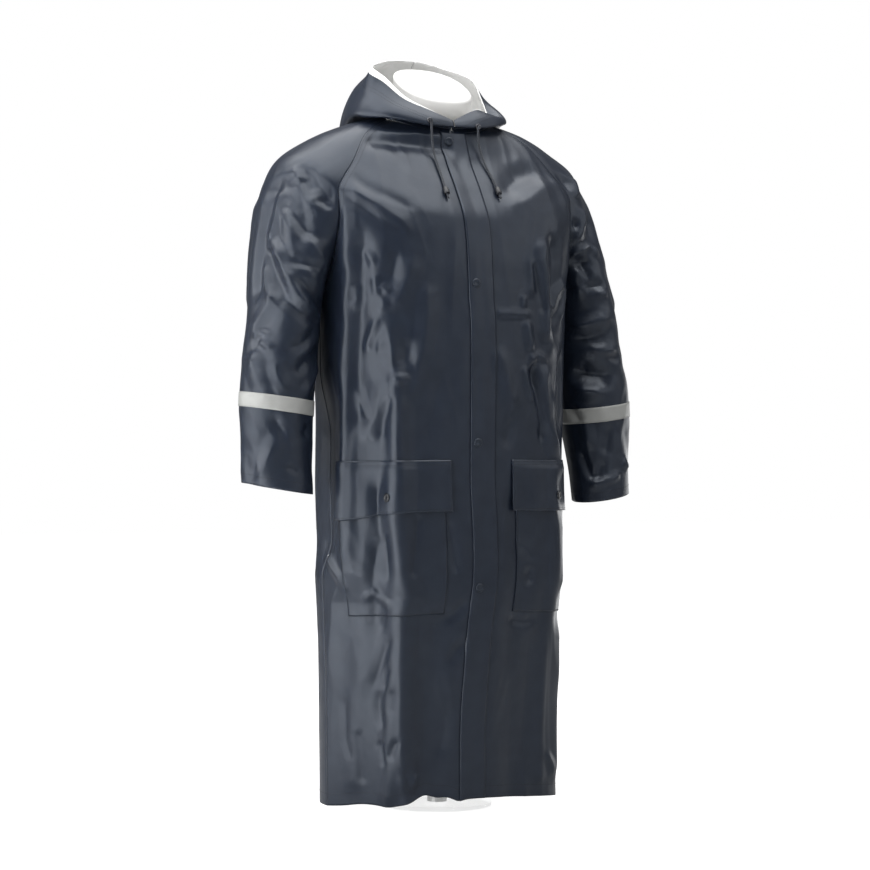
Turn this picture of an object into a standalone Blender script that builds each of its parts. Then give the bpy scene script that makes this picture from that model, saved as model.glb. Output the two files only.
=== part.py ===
"""A long hooded raincoat, worn by a limbless dress form that stands on the floor.

The coat faces -Y, its wearer's right is -X, +Z is up, and the origin is the centre of
the form's base on the floor.  Tables and sizes are in millimetres.
"""

import math
from collections import namedtuple

import bmesh
import bpy
import numpy as np
from mathutils import Vector

MM = 0.001
RIGHT = -1
LEFT = 1

# ---------------------------------------------------------------- driving sizes
WALL = 1.6                  # coated cloth, doubled at its seams
SEAM = 0.3                  # between two pieces at a seam
LAY = 0.3                   # between a piece and what it lies on
FRONT_EXPONENT = 2.5        # how square the fronts' level sections are
BACK_EXPONENT = 2.2
HEM_LEVEL = 12.0
FIRST_LEVEL_STATION = 9     # from here down the sections are level, to the hem

PLACKET_HALF = 24.0
POCKET_ROWS = (590.0, 344.0)        # top edge, under the flap, and bottom edge
FLAP_ROWS = (602.0, 514.0)
POCKET_SHARES = (0.125, 0.74)       # inner and outer edge, along the front's section
POCKET_FULLNESS = 4.0
FLAP_SHARES = (0.10, 0.77)
FLAP_LIFT = 3.0             # its lower edge hangs this much further off the pocket
FREE_EDGE_LIFT = 0.8        # of the placket, off the right front
SNAP_RADIUS = 7.5
SNAP_RISE = 2.2
SNAP_SEAT = 0.45            # the cloth under a cap is not quite flat
SNAP_LEVELS = (1152.0, 903.0, 633.0, 388.0)
SNAP_INSET = 13.5           # from the placket's free edge to the cap's centre
SNAP_UP_FLAP = 0.7          # rows above a pocket flap's lower edge
TAPE_WALL = 1.0
LEFT_SLEEVE_DROP = 20.0     # the left cuff hangs this much lower
HOOD_STAND = 1.0            # of the hood's lower edge, over the neckline
HOOD_SEAM = 1.6             # at its outer face, where the two halves meet
CORD_RADIUS = 2.0
CORD_STEP = 8.0             # between two points of a cord
CORD_START = 0.7            # off the hood, inside the eyelet
CORD_TAIL = 9.0             # bare cord below its bell
BELL_RADIUS = 5.0
BELL_LENGTH = 15.0
BELL_BORE = 2.5
EYELET_RADIUS = 4.2
EYELET_WIRE = 1.0
EYELET_PLACES = {"right": (6.4, 3.0), "left": (5.2, 2.6)}   # row and column of the hood

FrontRib = namedtuple("FrontRib", "centre_x centre_y centre_z edge_x edge_y edge_z spread")

# Stations 1 to 8 run from the neckline down the raglan seam to the underarm; the rest
# are level, one each 138 mm, to the hem.
FRONT_RIBS = [
    FrontRib(0, -60, 1168, 100, -5, 1192, 125),
    FrontRib(0, -76, 1123, 150, -30, 1165, 200),
    FrontRib(0, -116, 1064, 190, -60, 1112, 235),
    FrontRib(0, -148, 1010, 225, -75, 1056, 250),
    FrontRib(0, -158, 965, 224, -78, 1013, 240),
    FrontRib(0, -163, 925, 226, -62, 958, 233),
    FrontRib(0, -165, 898, 227, -35, 913, 229),
    FrontRib(0, -166, 880, 227, -2, 888, 227),
    FrontRib(2, -168, 838, 225, -2, 840, 225),
    FrontRib(4, -170, 702, 222, -2, 702, 222),
    FrontRib(6, -170, 567, 221, -2, 564, 221),
    FrontRib(10, -170, 431, 218, -2, 426, 218),
    FrontRib(-1, -165, 299, 213, -2, 288, 213),
    FrontRib(-8, -158, 165, 210, -2, 150, 210),
    FrontRib(-11, -155, 30, 212, -2, 12, 212),
]
BACK_RIBS = [
    FrontRib(0, 88, 1203, 90, 56, 1200, 118),
    FrontRib(0, 118, 1162, 150, 95, 1158, 200),
    FrontRib(0, 138, 1110, 195, 115, 1108, 240),
    FrontRib(0, 148, 1054, 222, 122, 1053, 250),
    FrontRib(0, 151, 998, 226, 112, 998, 242),
    FrontRib(0, 151, 948, 228, 85, 948, 236),
    FrontRib(0, 150, 908, 228, 45, 908, 232),
    FrontRib(0, 149, 886, 227, -2, 888, 227),
    FrontRib(0, 147, 840, 225, -2, 840, 225),
    FrontRib(0, 145, 702, 222, -2, 702, 222),
    FrontRib(0, 144, 564, 221, -2, 564, 221),
    FrontRib(0, 141, 426, 218, -2, 426, 218),
    FrontRib(0, 140, 288, 213, -2, 288, 213),
    FrontRib(0, 142, 150, 210, -2, 150, 210),
    FrontRib(0, 144, 12, 212, -2, 12, 212),
]

# How far each level station hangs off the form's middle, to the wearer's right.
SWAY = [0, 0, 0, 0, 0, 0, 0, 0, 0, 2, 5, 4, 4, 4, 1]

# The sleeve's crown over the same stations, as its outermost point.  Wrap is half the
# angle that the section takes round its own axis; from the sixth station down it follows
# from the section's half depth, and the section closes to a tube at the eighth.
Crown = namedtuple("Crown", "x y z")
CROWNS = [
    Crown(96, 24, 1202),
    Crown(172, 34, 1179),
    Crown(230, 42, 1153),
    Crown(281, 48, 1117),
    Crown(308, 42, 1064),
    Crown(326, 30, 995),
    Crown(338, 15, 934),
    Crown(347, 3, 883.5),
]
WRAPS = [50, 62, 76, 90, 105, 126]
CLOSING_STATIONS = (6, 8)
CLOSING_DEPTHS = (90.8, 82.0)
# Below the underarm the sleeve is a tube: its long axis turns in by toe, and its outer
# side stands higher than its middle by rise.
Ring = namedtuple("Ring", "z centre_x centre_y across deep toe rise")
RINGS = [
    Ring(886, 287.4, 3, 60, 82, 0, -2.5),
    Ring(840, 293, -1, 61, 78, 3, 2),
    Ring(770, 303, -6, 63, 72, 8, 5),
    Ring(711, 310, -10, 63, 66, 13, 8.5),
    Ring(640, 314, -18, 61, 56, 20, 9),
    Ring(590, 316, -24, 60, 50, 25, 10),
    Ring(556, 316, -27, 60, 47.5, 27, 10),
]
TAPE_ROWS = (711.0, 686.0)

# The hood lies back round the neck.  Each station of a half hood runs from the neckline
# down and out to its roll, and up to the rim; share is its place along the half neckline.
HoodRib = namedtuple("HoodRib", "share under roll mid rim")
HOOD_RIGHT = [
    HoodRib(0.00, (1, -63, 1172), (1, -67, 1176), (1, -66, 1182), (1, -63, 1188)),
    HoodRib(0.20, (48, -56, 1180), (52, -64, 1186), (48, -62, 1197), (40, -54, 1206)),
    HoodRib(0.38, (96, -32, 1192), (108, -40, 1200), (98, -40, 1214), (80, -32, 1226)),
    HoodRib(0.50, (118, -4, 1198), (138, -6, 1206), (126, -8, 1230), (108, -8, 1256)),
    HoodRib(0.62, (124, 26, 1200), (148, 30, 1208), (136, 24, 1240), (124, 18, 1275)),
    HoodRib(0.74, (118, 62, 1194), (142, 82, 1192), (128, 78, 1248), (86, 62, 1294)),
    HoodRib(0.87, (66, 104, 1186), (108, 150, 1152), (92, 164, 1226), (28, 110, 1311)),
    HoodRib(1.00, (0, 122, 1180), (0, 186, 1130), (-6, 214, 1216), (-20, 130, 1319)),
]
HOOD_LEFT = [
    HoodRib(0.00, (1, -63, 1172), (1, -67, 1176), (1, -66, 1182), (1, -63, 1188)),
    HoodRib(0.20, (46, -58, 1180), (54, -62, 1188), (52, -58, 1199), (44, -50, 1208)),
    HoodRib(0.38, (94, -34, 1192), (108, -34, 1196), (90, -34, 1206), (64, -34, 1214)),
    HoodRib(0.50, (116, -8, 1198), (136, -6, 1202), (124, -8, 1208), (100, -2, 1205)),
    HoodRib(0.62, (124, 26, 1200), (152, 36, 1204), (138, 36, 1226), (104, 36, 1246)),
    HoodRib(0.74, (118, 62, 1194), (158, 86, 1196), (148, 84, 1240), (104, 66, 1282)),
    HoodRib(0.87, (66, 104, 1186), (112, 156, 1154), (114, 160, 1226), (72, 110, 1308)),
    HoodRib(1.00, (0, 122, 1180), (0, 186, 1130), (6, 214, 1216), (20, 130, 1319)),
]

# The largest folds, as soft ridges (and, below zero, troughs) along a line.  Along is the
# way round the piece from its centre line; on a sleeve it is degrees from the outside.
Fold = namedtuple("Fold", "from_along from_z to_along to_z width height")
FRONT_RIGHT_FOLDS = [
    Fold(152, 740, 150, 40, 15, 6),
    Fold(185, 560, 192, 330, 16, -5),
    Fold(80, 330, 66, 40, 26, -7),
    Fold(215, 300, 222, 60, 20, 4),
]
FRONT_LEFT_FOLDS = [
    Fold(150, 700, 152, 60, 15, 5),
    Fold(70, 520, 84, 40, 26, -5),
    Fold(120, 960, 150, 800, 18, 4),
]
BACK_FOLDS = [
    Fold(-62, 780, -84, 30, 26, -8),
    Fold(70, 720, 92, 30, 26, -9),
    Fold(4, 660, 8, 30, 24, 7),
    Fold(-150, 620, -158, 30, 20, 7),
    Fold(152, 660, 164, 30, 20, 6),
    Fold(-60, 1085, -160, 960, 20, -5),
    Fold(70, 1080, 165, 950, 20, -5),
]
SLEEVE_FOLDS = [
    Fold(-35, 1090, -88, 985, 18, -5),
    Fold(-52, 930, -25, 790, 18, -5),
    Fold(55, 1040, 80, 930, 18, -5),
    Fold(-70, 650, -40, 570, 16, -4),
]

# The free ends of the drawcord, from the eyelets down over the chest to their tips.
CORD_ROUTES = {
    "right": [(-47.5, -72.5, 1184), (-47.5, -73, 1168), (-47, -74, 1150), (-46, -79, 1128),
              (-45, -89, 1111), (-45, -104.5, 1089), (-46, -121.5, 1066), (-46, -134, 1048)],
    "left": [(43, -73, 1177), (42.5, -73.5, 1162), (44, -76.5, 1142), (47, -84, 1121),
             (51, -97, 1099), (54, -110, 1082), (55, -119, 1070), (56, -132, 1052)],
}

# The dress form, from its lowest ring up to the neck.
FormRing = namedtuple("FormRing", "z half_width front back")
FORM_RINGS = [
    FormRing(470, 60, -50, 50),
    FormRing(474, 140, -95, 95),
    FormRing(500, 164, -112, 112),
    FormRing(600, 170, -116, 116),
    FormRing(760, 150, -104, 104),
    FormRing(880, 168, -118, 116),
    FormRing(980, 184, -122, 124),
    FormRing(1050, 196, -104, 118),
    FormRing(1100, 204, -78, 108),
    FormRing(1138, 208, -46, 98),
    FormRing(1154, 201, -24, 88),
    FormRing(1172, 168, -22, 82),
    FormRing(1187, 120, -28, 78),
    FormRing(1198, 86, -38, 78),
    FormRing(1212, 69, -42, 78),
]
FORM_EXPONENT = 2.3
NECK_TOP_LEVEL = 1260.0     # of the cut's middle
NECK_SLOPE_X = -0.01
NECK_SLOPE_Y = 0.6
NECK_ROUNDING = 4.0
POLE_RADIUS = 17.0
BASE_RADIUS = 95.0
BASE_HEIGHT = 6.0
BASE_BEVEL = 2.0


# ---------------------------------------------------------------- interpolation
def eased(rows, at, rounded=False):
    """Row `at` of a table of numbers, read between its rows.

    It doesn't overshoot them, unless it is rounded, which makes a fuller curve.
    """
    rows = np.asarray(rows, float)
    at = min(max(at, 0.0), len(rows) - 1.0)
    low = min(int(at), len(rows) - 2)
    steps = np.diff(rows, axis=0)

    def slope(row):
        if row == 0:
            return steps[0]
        if row == len(rows) - 1:
            return steps[-1]
        before = steps[row - 1]
        after = steps[row]
        if rounded:
            return (before + after) / 2
        product = before * after
        total = np.where(np.abs(before + after) < 1e-9, 1.0, before + after)
        return np.where(product > 0, 2 * product / total, 0.0)

    t = at - low
    blend = t * t * (3 - 2 * t)
    return (rows[low] + (rows[low + 1] - rows[low]) * blend
            + slope(low) * (t - 2 * t ** 2 + t ** 3)
            + slope(low + 1) * (t ** 3 - t ** 2))


def resampled(points, distances):
    """Points at the given distances along a polyline."""
    points = np.asarray(points, float)
    lengths = np.linalg.norm(np.diff(points, axis=0), axis=1)
    travelled = np.concatenate(([0.0], np.cumsum(lengths)))
    return np.stack([np.interp(distances, travelled, points[:, axis]) for axis in range(3)], 1)


def length_of(points):
    return float(np.linalg.norm(np.diff(points, axis=0), axis=1).sum())


Piece = namedtuple("Piece", "points normals turn tube_from")


def piece_from(points, turn, tube_from=None):
    """A grid of points with its outward normals.

    turn is 1 where rows times columns, by the right hand, point out of the coat.  From row
    tube_from on, the last column is the first one again.
    """
    along = np.gradient(points, axis=1)
    if tube_from is not None:
        ends = points[tube_from:, 1] - points[tube_from:, -2]
        along[tube_from:, 0] = ends
        along[tube_from:, -1] = ends
    normals = turn * np.cross(np.gradient(points, axis=0), along)
    normals /= np.linalg.norm(normals, axis=2, keepdims=True)
    return Piece(points, normals, turn, tube_from)


def cut_out(piece, rows, columns):
    return Piece(piece.points[rows, columns], piece.normals[rows, columns], piece.turn, None)


def moved_out(piece, distance):
    """The piece laid over itself; distance is a number, or an array of rows and columns."""
    distance = np.broadcast_to(distance, piece.points.shape[:2])
    return piece._replace(points=piece.points + piece.normals * distance[..., None])


def folded(piece, folds, along):
    """The piece with its large folds; along holds each point's way round the piece."""
    height = piece.points[..., 2]
    relief = np.zeros(height.shape)
    for fold in folds:
        run = np.array([fold.to_along - fold.from_along, fold.to_z - fold.from_z], float)
        from_start = np.stack((along - fold.from_along, height - fold.from_z), -1)
        share = np.clip((from_start @ run) / (run @ run), 0, 1)
        off = np.linalg.norm(from_start - share[..., None] * run, axis=-1)
        relief += fold.height * np.exp(-(off / fold.width) ** 2)
    points = piece.points + piece.normals * relief[..., None]
    return piece_from(points, piece.turn, piece.tube_from)


# ---------------------------------------------------------------- panel geometry
SECTION_POINTS = 72


def rib_curve(rib, exponent):
    """One rib's curve from the centre line to its edge, as a cut superellipse."""
    reach = min(rib.edge_x / rib.spread, 1.0)
    stay = (1 - reach ** exponent) ** (1 / exponent)
    middle_y = (rib.edge_y - stay * rib.centre_y) / (1 - stay)
    last = math.asin(reach ** (exponent / 2))
    angles = np.linspace(0, last, SECTION_POINTS)
    across = rib.spread * np.sin(angles) ** (2 / exponent)
    depth = middle_y + (rib.centre_y - middle_y) * np.cos(angles) ** (2 / exponent)
    share = across / rib.edge_x
    height = rib.centre_z + (rib.edge_z - rib.centre_z) * share ** 2
    curve = np.stack((across + rib.centre_x * (1 - share), depth, height), 1)
    return resampled(curve, np.linspace(0, length_of(curve), SECTION_POINTS))


FRONT_CURVES = {side: [rib_curve(rib._replace(centre_x=rib.centre_x * side), FRONT_EXPONENT)
                       for rib in FRONT_RIBS] for side in (RIGHT, LEFT)}
BACK_CURVES = [rib_curve(rib, BACK_EXPONENT) for rib in BACK_RIBS]


def rib_at(table, station):
    return FrontRib(*eased(table, station - 1))


def station_of(level):
    """The skirt's station at a height."""
    stations = np.linspace(FIRST_LEVEL_STATION, len(FRONT_RIBS), 241)
    levels = [rib_at(FRONT_RIBS, station).edge_z for station in stations]
    return float(np.interp(-level, [-height for height in levels], stations))


def sway_at(station):
    return float(eased(np.array(SWAY)[:, None], station - 1)[0])


def mirrored(points, side):
    """The same points on the wearer's other side, where side is RIGHT."""
    points = np.array(points, float)
    points[..., 0] *= side
    return points


YOKE_STATIONS = [1, 1.5, 2, 2.5, 3, 3.5, 4, 4.5, 5, 5.5, 6, 6.5, 7, 7.5, 8]
SKIRT_LEVELS = [840, 792, 744, 696, 648, FLAP_ROWS[0], POCKET_ROWS[0], 552, FLAP_ROWS[1],
                470, 427, 386, POCKET_ROWS[1], 294, 242, 190, 138, 86, 45, HEM_LEVEL]
PANEL_STATIONS = YOKE_STATIONS + [station_of(level) for level in SKIRT_LEVELS]
PLACKET_STEPS = [SEAM / 2, PLACKET_HALF / 2, PLACKET_HALF]
POCKET_COLUMNS = 8
FRONT_SHARES = [FLAP_SHARES[0], *np.linspace(*POCKET_SHARES, POCKET_COLUMNS), FLAP_SHARES[1],
                0.85, 0.93, 1.0]
BACK_SHARES = np.linspace(0, 1, 10)


def row_of(level):
    """The panels' row at one of the skirt's levels."""
    return len(YOKE_STATIONS) + SKIRT_LEVELS.index(level)


def front(side, folds):
    """A front, rows from neck to hem, columns from the closure to the side."""
    rows = []
    along = []
    for station in PANEL_STATIONS:
        curve = eased(FRONT_CURVES[side], station - 1)
        whole = length_of(curve) - SEAM
        steps = PLACKET_STEPS + [PLACKET_HALF + (whole - PLACKET_HALF) * share
                                 for share in FRONT_SHARES]
        rows.append(mirrored(resampled(curve, steps), side) - (sway_at(station), 0, 0))
        along.append(steps)
    return folded(piece_from(np.array(rows), side), folds, np.array(along))


def back():
    """The back, columns from the wearer's right to the left."""
    rows = []
    along = []
    for station in PANEL_STATIONS:
        curve = eased(BACK_CURVES, station - 1)
        steps = (length_of(curve) - SEAM) * BACK_SHARES
        half = resampled(curve, steps)
        both = np.concatenate((mirrored(half[:0:-1], RIGHT), half))
        rows.append(both - (sway_at(station), 0, 0))
        along.append(np.concatenate((-steps[:0:-1], steps)))
    return folded(piece_from(np.array(rows), RIGHT), BACK_FOLDS, np.array(along))


SLEEVE_COLUMNS = 18
ARC_POINTS = 97             # of a sleeve's section, before it is cut into columns


def armhole(station):
    """The ends of the sleeve's section, on the front and the back seam, and its wrap."""
    front_seam = rib_at(FRONT_RIBS, station)
    back_seam = rib_at(BACK_RIBS, station)
    start = np.array([front_seam.edge_x, front_seam.edge_y, front_seam.edge_z])
    end = np.array([back_seam.edge_x, back_seam.edge_y, back_seam.edge_z])
    if station <= CLOSING_STATIONS[0]:
        wrap = math.radians(eased(np.array(WRAPS)[:, None], station - 1)[0])
    else:
        depth = np.interp(station, CLOSING_STATIONS, CLOSING_DEPTHS)
        wrap = math.pi - math.asin(np.linalg.norm(end - start) / 2 / depth)
    return start, end, wrap


def yoke_section(station):
    """The sleeve's section between the raglan seams, from the front one over the crown."""
    start, end, wrap = armhole(station)
    top = eased(CROWNS, station - 1)
    out = (top - (start + end) / 2) / (1 - math.cos(wrap))
    across = (end - start) / (2 * math.sin(wrap))
    angles = np.linspace(-wrap, wrap, ARC_POINTS)
    curve = top - out + np.outer(np.cos(angles), out) + np.outer(np.sin(angles), across)
    points = resampled(curve, np.linspace(SEAM, length_of(curve) - SEAM, SLEEVE_COLUMNS + 1))
    clear_of_body = 2 * SEAM * max(0.0, -math.cos(wrap))
    points[(0, -1), 0] += clear_of_body
    return points


def ring_points(ring):
    """A closed section of the sleeve, from its inner point round by the front."""
    angles = np.linspace(-math.pi, math.pi, ARC_POINTS)
    toe = math.radians(ring.toe)
    long_axis = (math.cos(toe), math.sin(toe), 0)
    short_axis = (-math.sin(toe), math.cos(toe), 0)
    curve = (np.outer(ring.across * np.cos(angles), long_axis)
             + np.outer(ring.deep * np.sin(angles), short_axis))
    curve += (ring.centre_x, ring.centre_y, ring.z)
    curve[:, 2] += ring.rise * np.cos(angles)
    return resampled(curve, np.linspace(0, length_of(curve), SLEEVE_COLUMNS + 1))


def ring_at(level):
    keys = np.linspace(0, len(RINGS) - 1, 121)
    heights = [-eased(RINGS, key)[0] for key in keys]
    return Ring(*eased(RINGS, float(np.interp(-level, heights, keys))))


TUBE_LEVELS = [886, 866, 840, 805, 772, 740, TAPE_ROWS[0], TAPE_ROWS[1], 655, 622, 590, 556]
TUBE_FROM = len(YOKE_STATIONS) - 1


def sleeve(side, folds):
    """Rows from the neckline to the cuff; columns run from the front seam to the back one."""
    rows = []
    wraps = []
    for station in YOKE_STATIONS[:TUBE_FROM]:
        rows.append(yoke_section(station))
        wraps.append(math.degrees(armhole(station)[2]))
    for level in TUBE_LEVELS:
        points = ring_points(ring_at(level))
        if side == LEFT:
            fall = (TUBE_LEVELS[0] - level) / (TUBE_LEVELS[0] - TUBE_LEVELS[-1])
            points[:, 2] -= LEFT_SLEEVE_DROP * fall
        rows.append(points)
        wraps.append(180)
    along = np.outer(wraps, np.linspace(-1, 1, SLEEVE_COLUMNS + 1))
    return folded(piece_from(mirrored(rows, side), side, TUBE_FROM), folds, along)


def half_neckline():
    """From the throat over the shoulder to the nape, on the wearer's left."""
    return np.concatenate((FRONT_CURVES[LEFT][0], yoke_section(1), BACK_CURVES[0][::-1]))


HOOD_COLUMNS = 16
HOOD_PROFILE = 10


def past_nape(rib):
    """A hood rib on the other side of the centre seam, so that the hood crosses it level."""
    flipped = [(-x, y, z) for x, y, z in rib[1:]]
    return HoodRib(2 - rib.share, *flipped)


def hood(side):
    """Half a hood, rows from the neckline to the rim, columns from the throat to the nape."""
    ribs = HOOD_RIGHT if side == RIGHT else HOOD_LEFT
    ribs = ribs + [past_nape(ribs[-2])]
    neckline = half_neckline()
    whole = length_of(neckline)
    keys = [rib.share for rib in ribs]
    columns = []
    for share in np.linspace(0, 1, HOOD_COLUMNS + 1):
        at = float(np.interp(share, keys, range(len(keys))))
        stages = [eased([rib[stage] for rib in ribs], at, rounded=True) for stage in range(1, 5)]
        start = resampled(neckline, [whole * share])[0] + (0, 0, HOOD_STAND)
        profile = np.array([eased([start, *stages], step, rounded=True)
                            for step in np.linspace(0, 4, 41)])
        columns.append(resampled(profile, np.linspace(0, length_of(profile), HOOD_PROFILE + 1)))
    points = np.array(columns).transpose(1, 0, 2)
    points[:, (0, -1), 0] += HOOD_SEAM / 2
    return piece_from(mirrored(points, side), -side)


def placket(right_front, left_front):
    """The strip over the closure, from its free edge on the wearer's right."""
    def joined(right, left):
        middle = (right[:, :1] + left[:, :1]) / 2
        return np.concatenate((right[:, 2:0:-1], middle, left[:, 1:3]), 1)

    points = joined(right_front.points, left_front.points)
    normals = joined(right_front.normals, left_front.normals)
    return Piece(points, normals, 1, None)


# ---------------------------------------------------------------- making objects
coat = bpy.data.collections.new("raincoat_on_form")


def material(name, colour, roughness, metallic=0.0):
    made = bpy.data.materials.new(name)
    made.use_nodes = True
    shader = made.node_tree.nodes["Principled BSDF"]
    shader.inputs["Base Color"].default_value = (*colour, 1)
    shader.inputs["Roughness"].default_value = roughness
    shader.inputs["Metallic"].default_value = metallic
    return made


def add_object(name, data, finish):
    data.materials.append(finish)
    made = bpy.data.objects.new(name, data)
    coat.objects.link(made)
    return made


def mesh_from(name, vertices, faces):
    mesh = bpy.data.meshes.new(name)
    mesh.from_pydata([tuple(vertex) for vertex in vertices], [], faces)
    mesh.shade_smooth()
    mesh.set_sharp_from_angle(angle=math.radians(50))
    return mesh


def cloth(name, piece, finish, wall=WALL, outward=False):
    """A piece as one wall of cloth.

    The wall's outer face is on the points, or its inner face where it lies outward.
    """
    points = piece.points * MM
    rows, columns = points.shape[:2]
    index = np.zeros((rows, columns), int)
    vertices = []
    for row in range(rows):
        closed = piece.tube_from is not None and row >= piece.tube_from
        for column in range(columns):
            if closed and column == columns - 1:
                index[row, column] = index[row, 0]
                continue
            index[row, column] = len(vertices)
            vertices.append(points[row, column])
    faces = []
    for row in range(rows - 1):
        for column in range(columns - 1):
            corners = [int(index[row, column]), int(index[row + 1, column]),
                       int(index[row + 1, column + 1]), int(index[row, column + 1])]
            if piece.turn < 0:
                corners.reverse()
            faces.append(corners)
    made = add_object(name, mesh_from(name, vertices, faces), finish)
    thicken = made.modifiers.new("wall", "SOLIDIFY")
    thicken.thickness = wall * MM
    thicken.offset = 1 if outward else -1
    thicken.use_even_offset = True
    return made


def turned(name, profile, finish, steps=12):
    """A solid of revolution about its own Z; the profile runs down its outer side."""
    mesh = bpy.data.meshes.new(name)
    shape = bmesh.new()
    vertices = [shape.verts.new((radius * MM, 0, height * MM)) for radius, height in profile]
    for start, end in zip(vertices, vertices[1:]):
        shape.edges.new((start, end))
    if profile[0][0] > 0:
        shape.edges.new((vertices[-1], vertices[0]))
    shape.to_mesh(mesh)
    shape.free()
    made = add_object(name, mesh, finish)
    screw = made.modifiers.new("turn", "SCREW")
    screw.steps = steps
    screw.render_steps = steps
    screw.use_merge_vertices = True
    screw.merge_threshold = 0.00001
    screw.use_smooth_shade = True
    return made


def stand_on(made, point, normal):
    """Put an object's origin on a point, its own Z along the normal."""
    made.location = Vector(point) * MM
    made.rotation_mode = "QUATERNION"
    made.rotation_quaternion = Vector(normal).to_track_quat("Z", "Y")


def point_on(piece, row, column):
    """A point of a piece at fractional rows and columns, and its facet's normal."""
    low_row = int(row)
    low_column = int(column)
    down = row - low_row
    along = column - low_column
    near_start, near_end = piece.points[low_row, low_column:low_column + 2]
    far_start, far_end = piece.points[low_row + 1, low_column:low_column + 2]
    near = near_start + (near_end - near_start) * along
    far = far_start + (far_end - far_start) * along
    normal = piece.turn * np.cross(far_end - near_start, near_end - far_start)
    return near + (far - near) * down, normal / np.linalg.norm(normal)


def row_at(piece, column, level):
    """The fractional row where a column of a piece passes a height."""
    heights = piece.points[:, column, 2]
    return float(np.interp(-level, -heights, range(len(heights))))


# ---------------------------------------------------------------- the coat
def add_snap(name, carrier, row, column, finish):
    """A snap's cap on the outer face of the wall whose inner face is the carrier."""
    profile = [(0, SNAP_RISE), (SNAP_RADIUS * 0.7, SNAP_RISE * 0.85),
               (SNAP_RADIUS, SNAP_RISE * 0.35), (SNAP_RADIUS, 0), (0, 0)]
    cap = turned(name, profile, finish)
    point, normal = point_on(carrier, row, column)
    stand_on(cap, point + normal * (WALL + SNAP_SEAT), normal)


def pocket_raise(rows, columns):
    """How far a patch pocket stands off the front, fullest at its middle."""
    across = np.sin(np.pi * np.linspace(0, 1, columns))
    down = np.sin(np.pi * np.linspace(0.15, 1, rows))
    return LAY + POCKET_FULLNESS * np.outer(down, across)


def add_pocket(side_name, panel, cloth_finish, snap_finish):
    first_row = row_of(POCKET_ROWS[0])
    last_row = row_of(POCKET_ROWS[1])
    first_column = len(PLACKET_STEPS) + 1
    last_column = first_column + POCKET_COLUMNS - 1
    patch = cut_out(panel, slice(first_row, last_row + 1), slice(first_column, last_column + 1))
    standing = pocket_raise(*patch.points.shape[:2])
    cloth("pocket_" + side_name, moved_out(patch, standing), cloth_finish, outward=True)

    top_row = row_of(FLAP_ROWS[0])
    low_row = row_of(FLAP_ROWS[1])
    flap = cut_out(panel, slice(top_row, low_row + 1), slice(first_column - 1, last_column + 2))
    covered = low_row - first_row + 1
    over = np.pad(standing[:covered], ((1, 0), (1, 1)), constant_values=LAY)
    hang = np.linspace(0, 1, over.shape[0])[:, None] ** 2 * FLAP_LIFT
    lift = over + WALL + LAY + hang
    lift[0] = LAY
    hung = moved_out(flap, lift)
    cloth("flap_" + side_name, hung, cloth_finish, outward=True)
    rows, columns = lift.shape
    add_snap("snap_pocket_" + side_name, hung, rows - 1 - SNAP_UP_FLAP, (columns - 1) / 2,
             snap_finish)


def smooth_route(points, step):
    """Points every step or so along a smooth curve through the given ones."""
    fine = np.array([eased(points, at) for at in np.linspace(0, len(points) - 1, 161)])
    whole = length_of(fine)
    return resampled(fine, np.linspace(0, whole, round(whole / step) + 1))


def add_drawcord(side_name, hood_half, cord_finish, bell_finish, eyelet_finish):
    """A free end of the hood's cord, its eyelet and its bell."""
    row, column = EYELET_PLACES[side_name]
    point, normal = point_on(hood_half, row, column)
    seat = point + normal * (LAY + EYELET_WIRE)
    turns = np.arange(6) * math.pi / 3
    wire = [(EYELET_RADIUS + EYELET_WIRE * math.sin(turn), EYELET_WIRE * math.cos(turn))
            for turn in turns]
    stand_on(turned("eyelet_" + side_name, wire, eyelet_finish), seat, normal)

    straight_out = [point + normal * CORD_START, point + normal * CORD_STEP]
    route = smooth_route(straight_out + CORD_ROUTES[side_name], CORD_STEP)
    curve = bpy.data.curves.new("cord_" + side_name, "CURVE")
    curve.dimensions = "3D"
    curve.bevel_depth = CORD_RADIUS * MM
    curve.bevel_resolution = 2
    curve.use_fill_caps = True
    spline = curve.splines.new("POLY")
    spline.points.add(len(route) - 1)
    for spot, place in zip(spline.points, route):
        spot.co = (*(place * MM), 1)
    add_object("cord_" + side_name, curve, cord_finish)

    whole = length_of(route)
    top, middle, bottom = resampled(route, [whole - CORD_TAIL - BELL_LENGTH * share
                                            for share in (1, 0.5, 0)])
    half = BELL_LENGTH / 2
    profile = [(BELL_BORE, half), (BELL_RADIUS * 0.6, half), (BELL_RADIUS * 0.85, half * 0.6),
               (BELL_RADIUS, -half * 0.7), (BELL_RADIUS * 0.85, -half), (BELL_BORE, -half)]
    stand_on(turned("bell_" + side_name, profile, bell_finish), middle, top - bottom)


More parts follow.
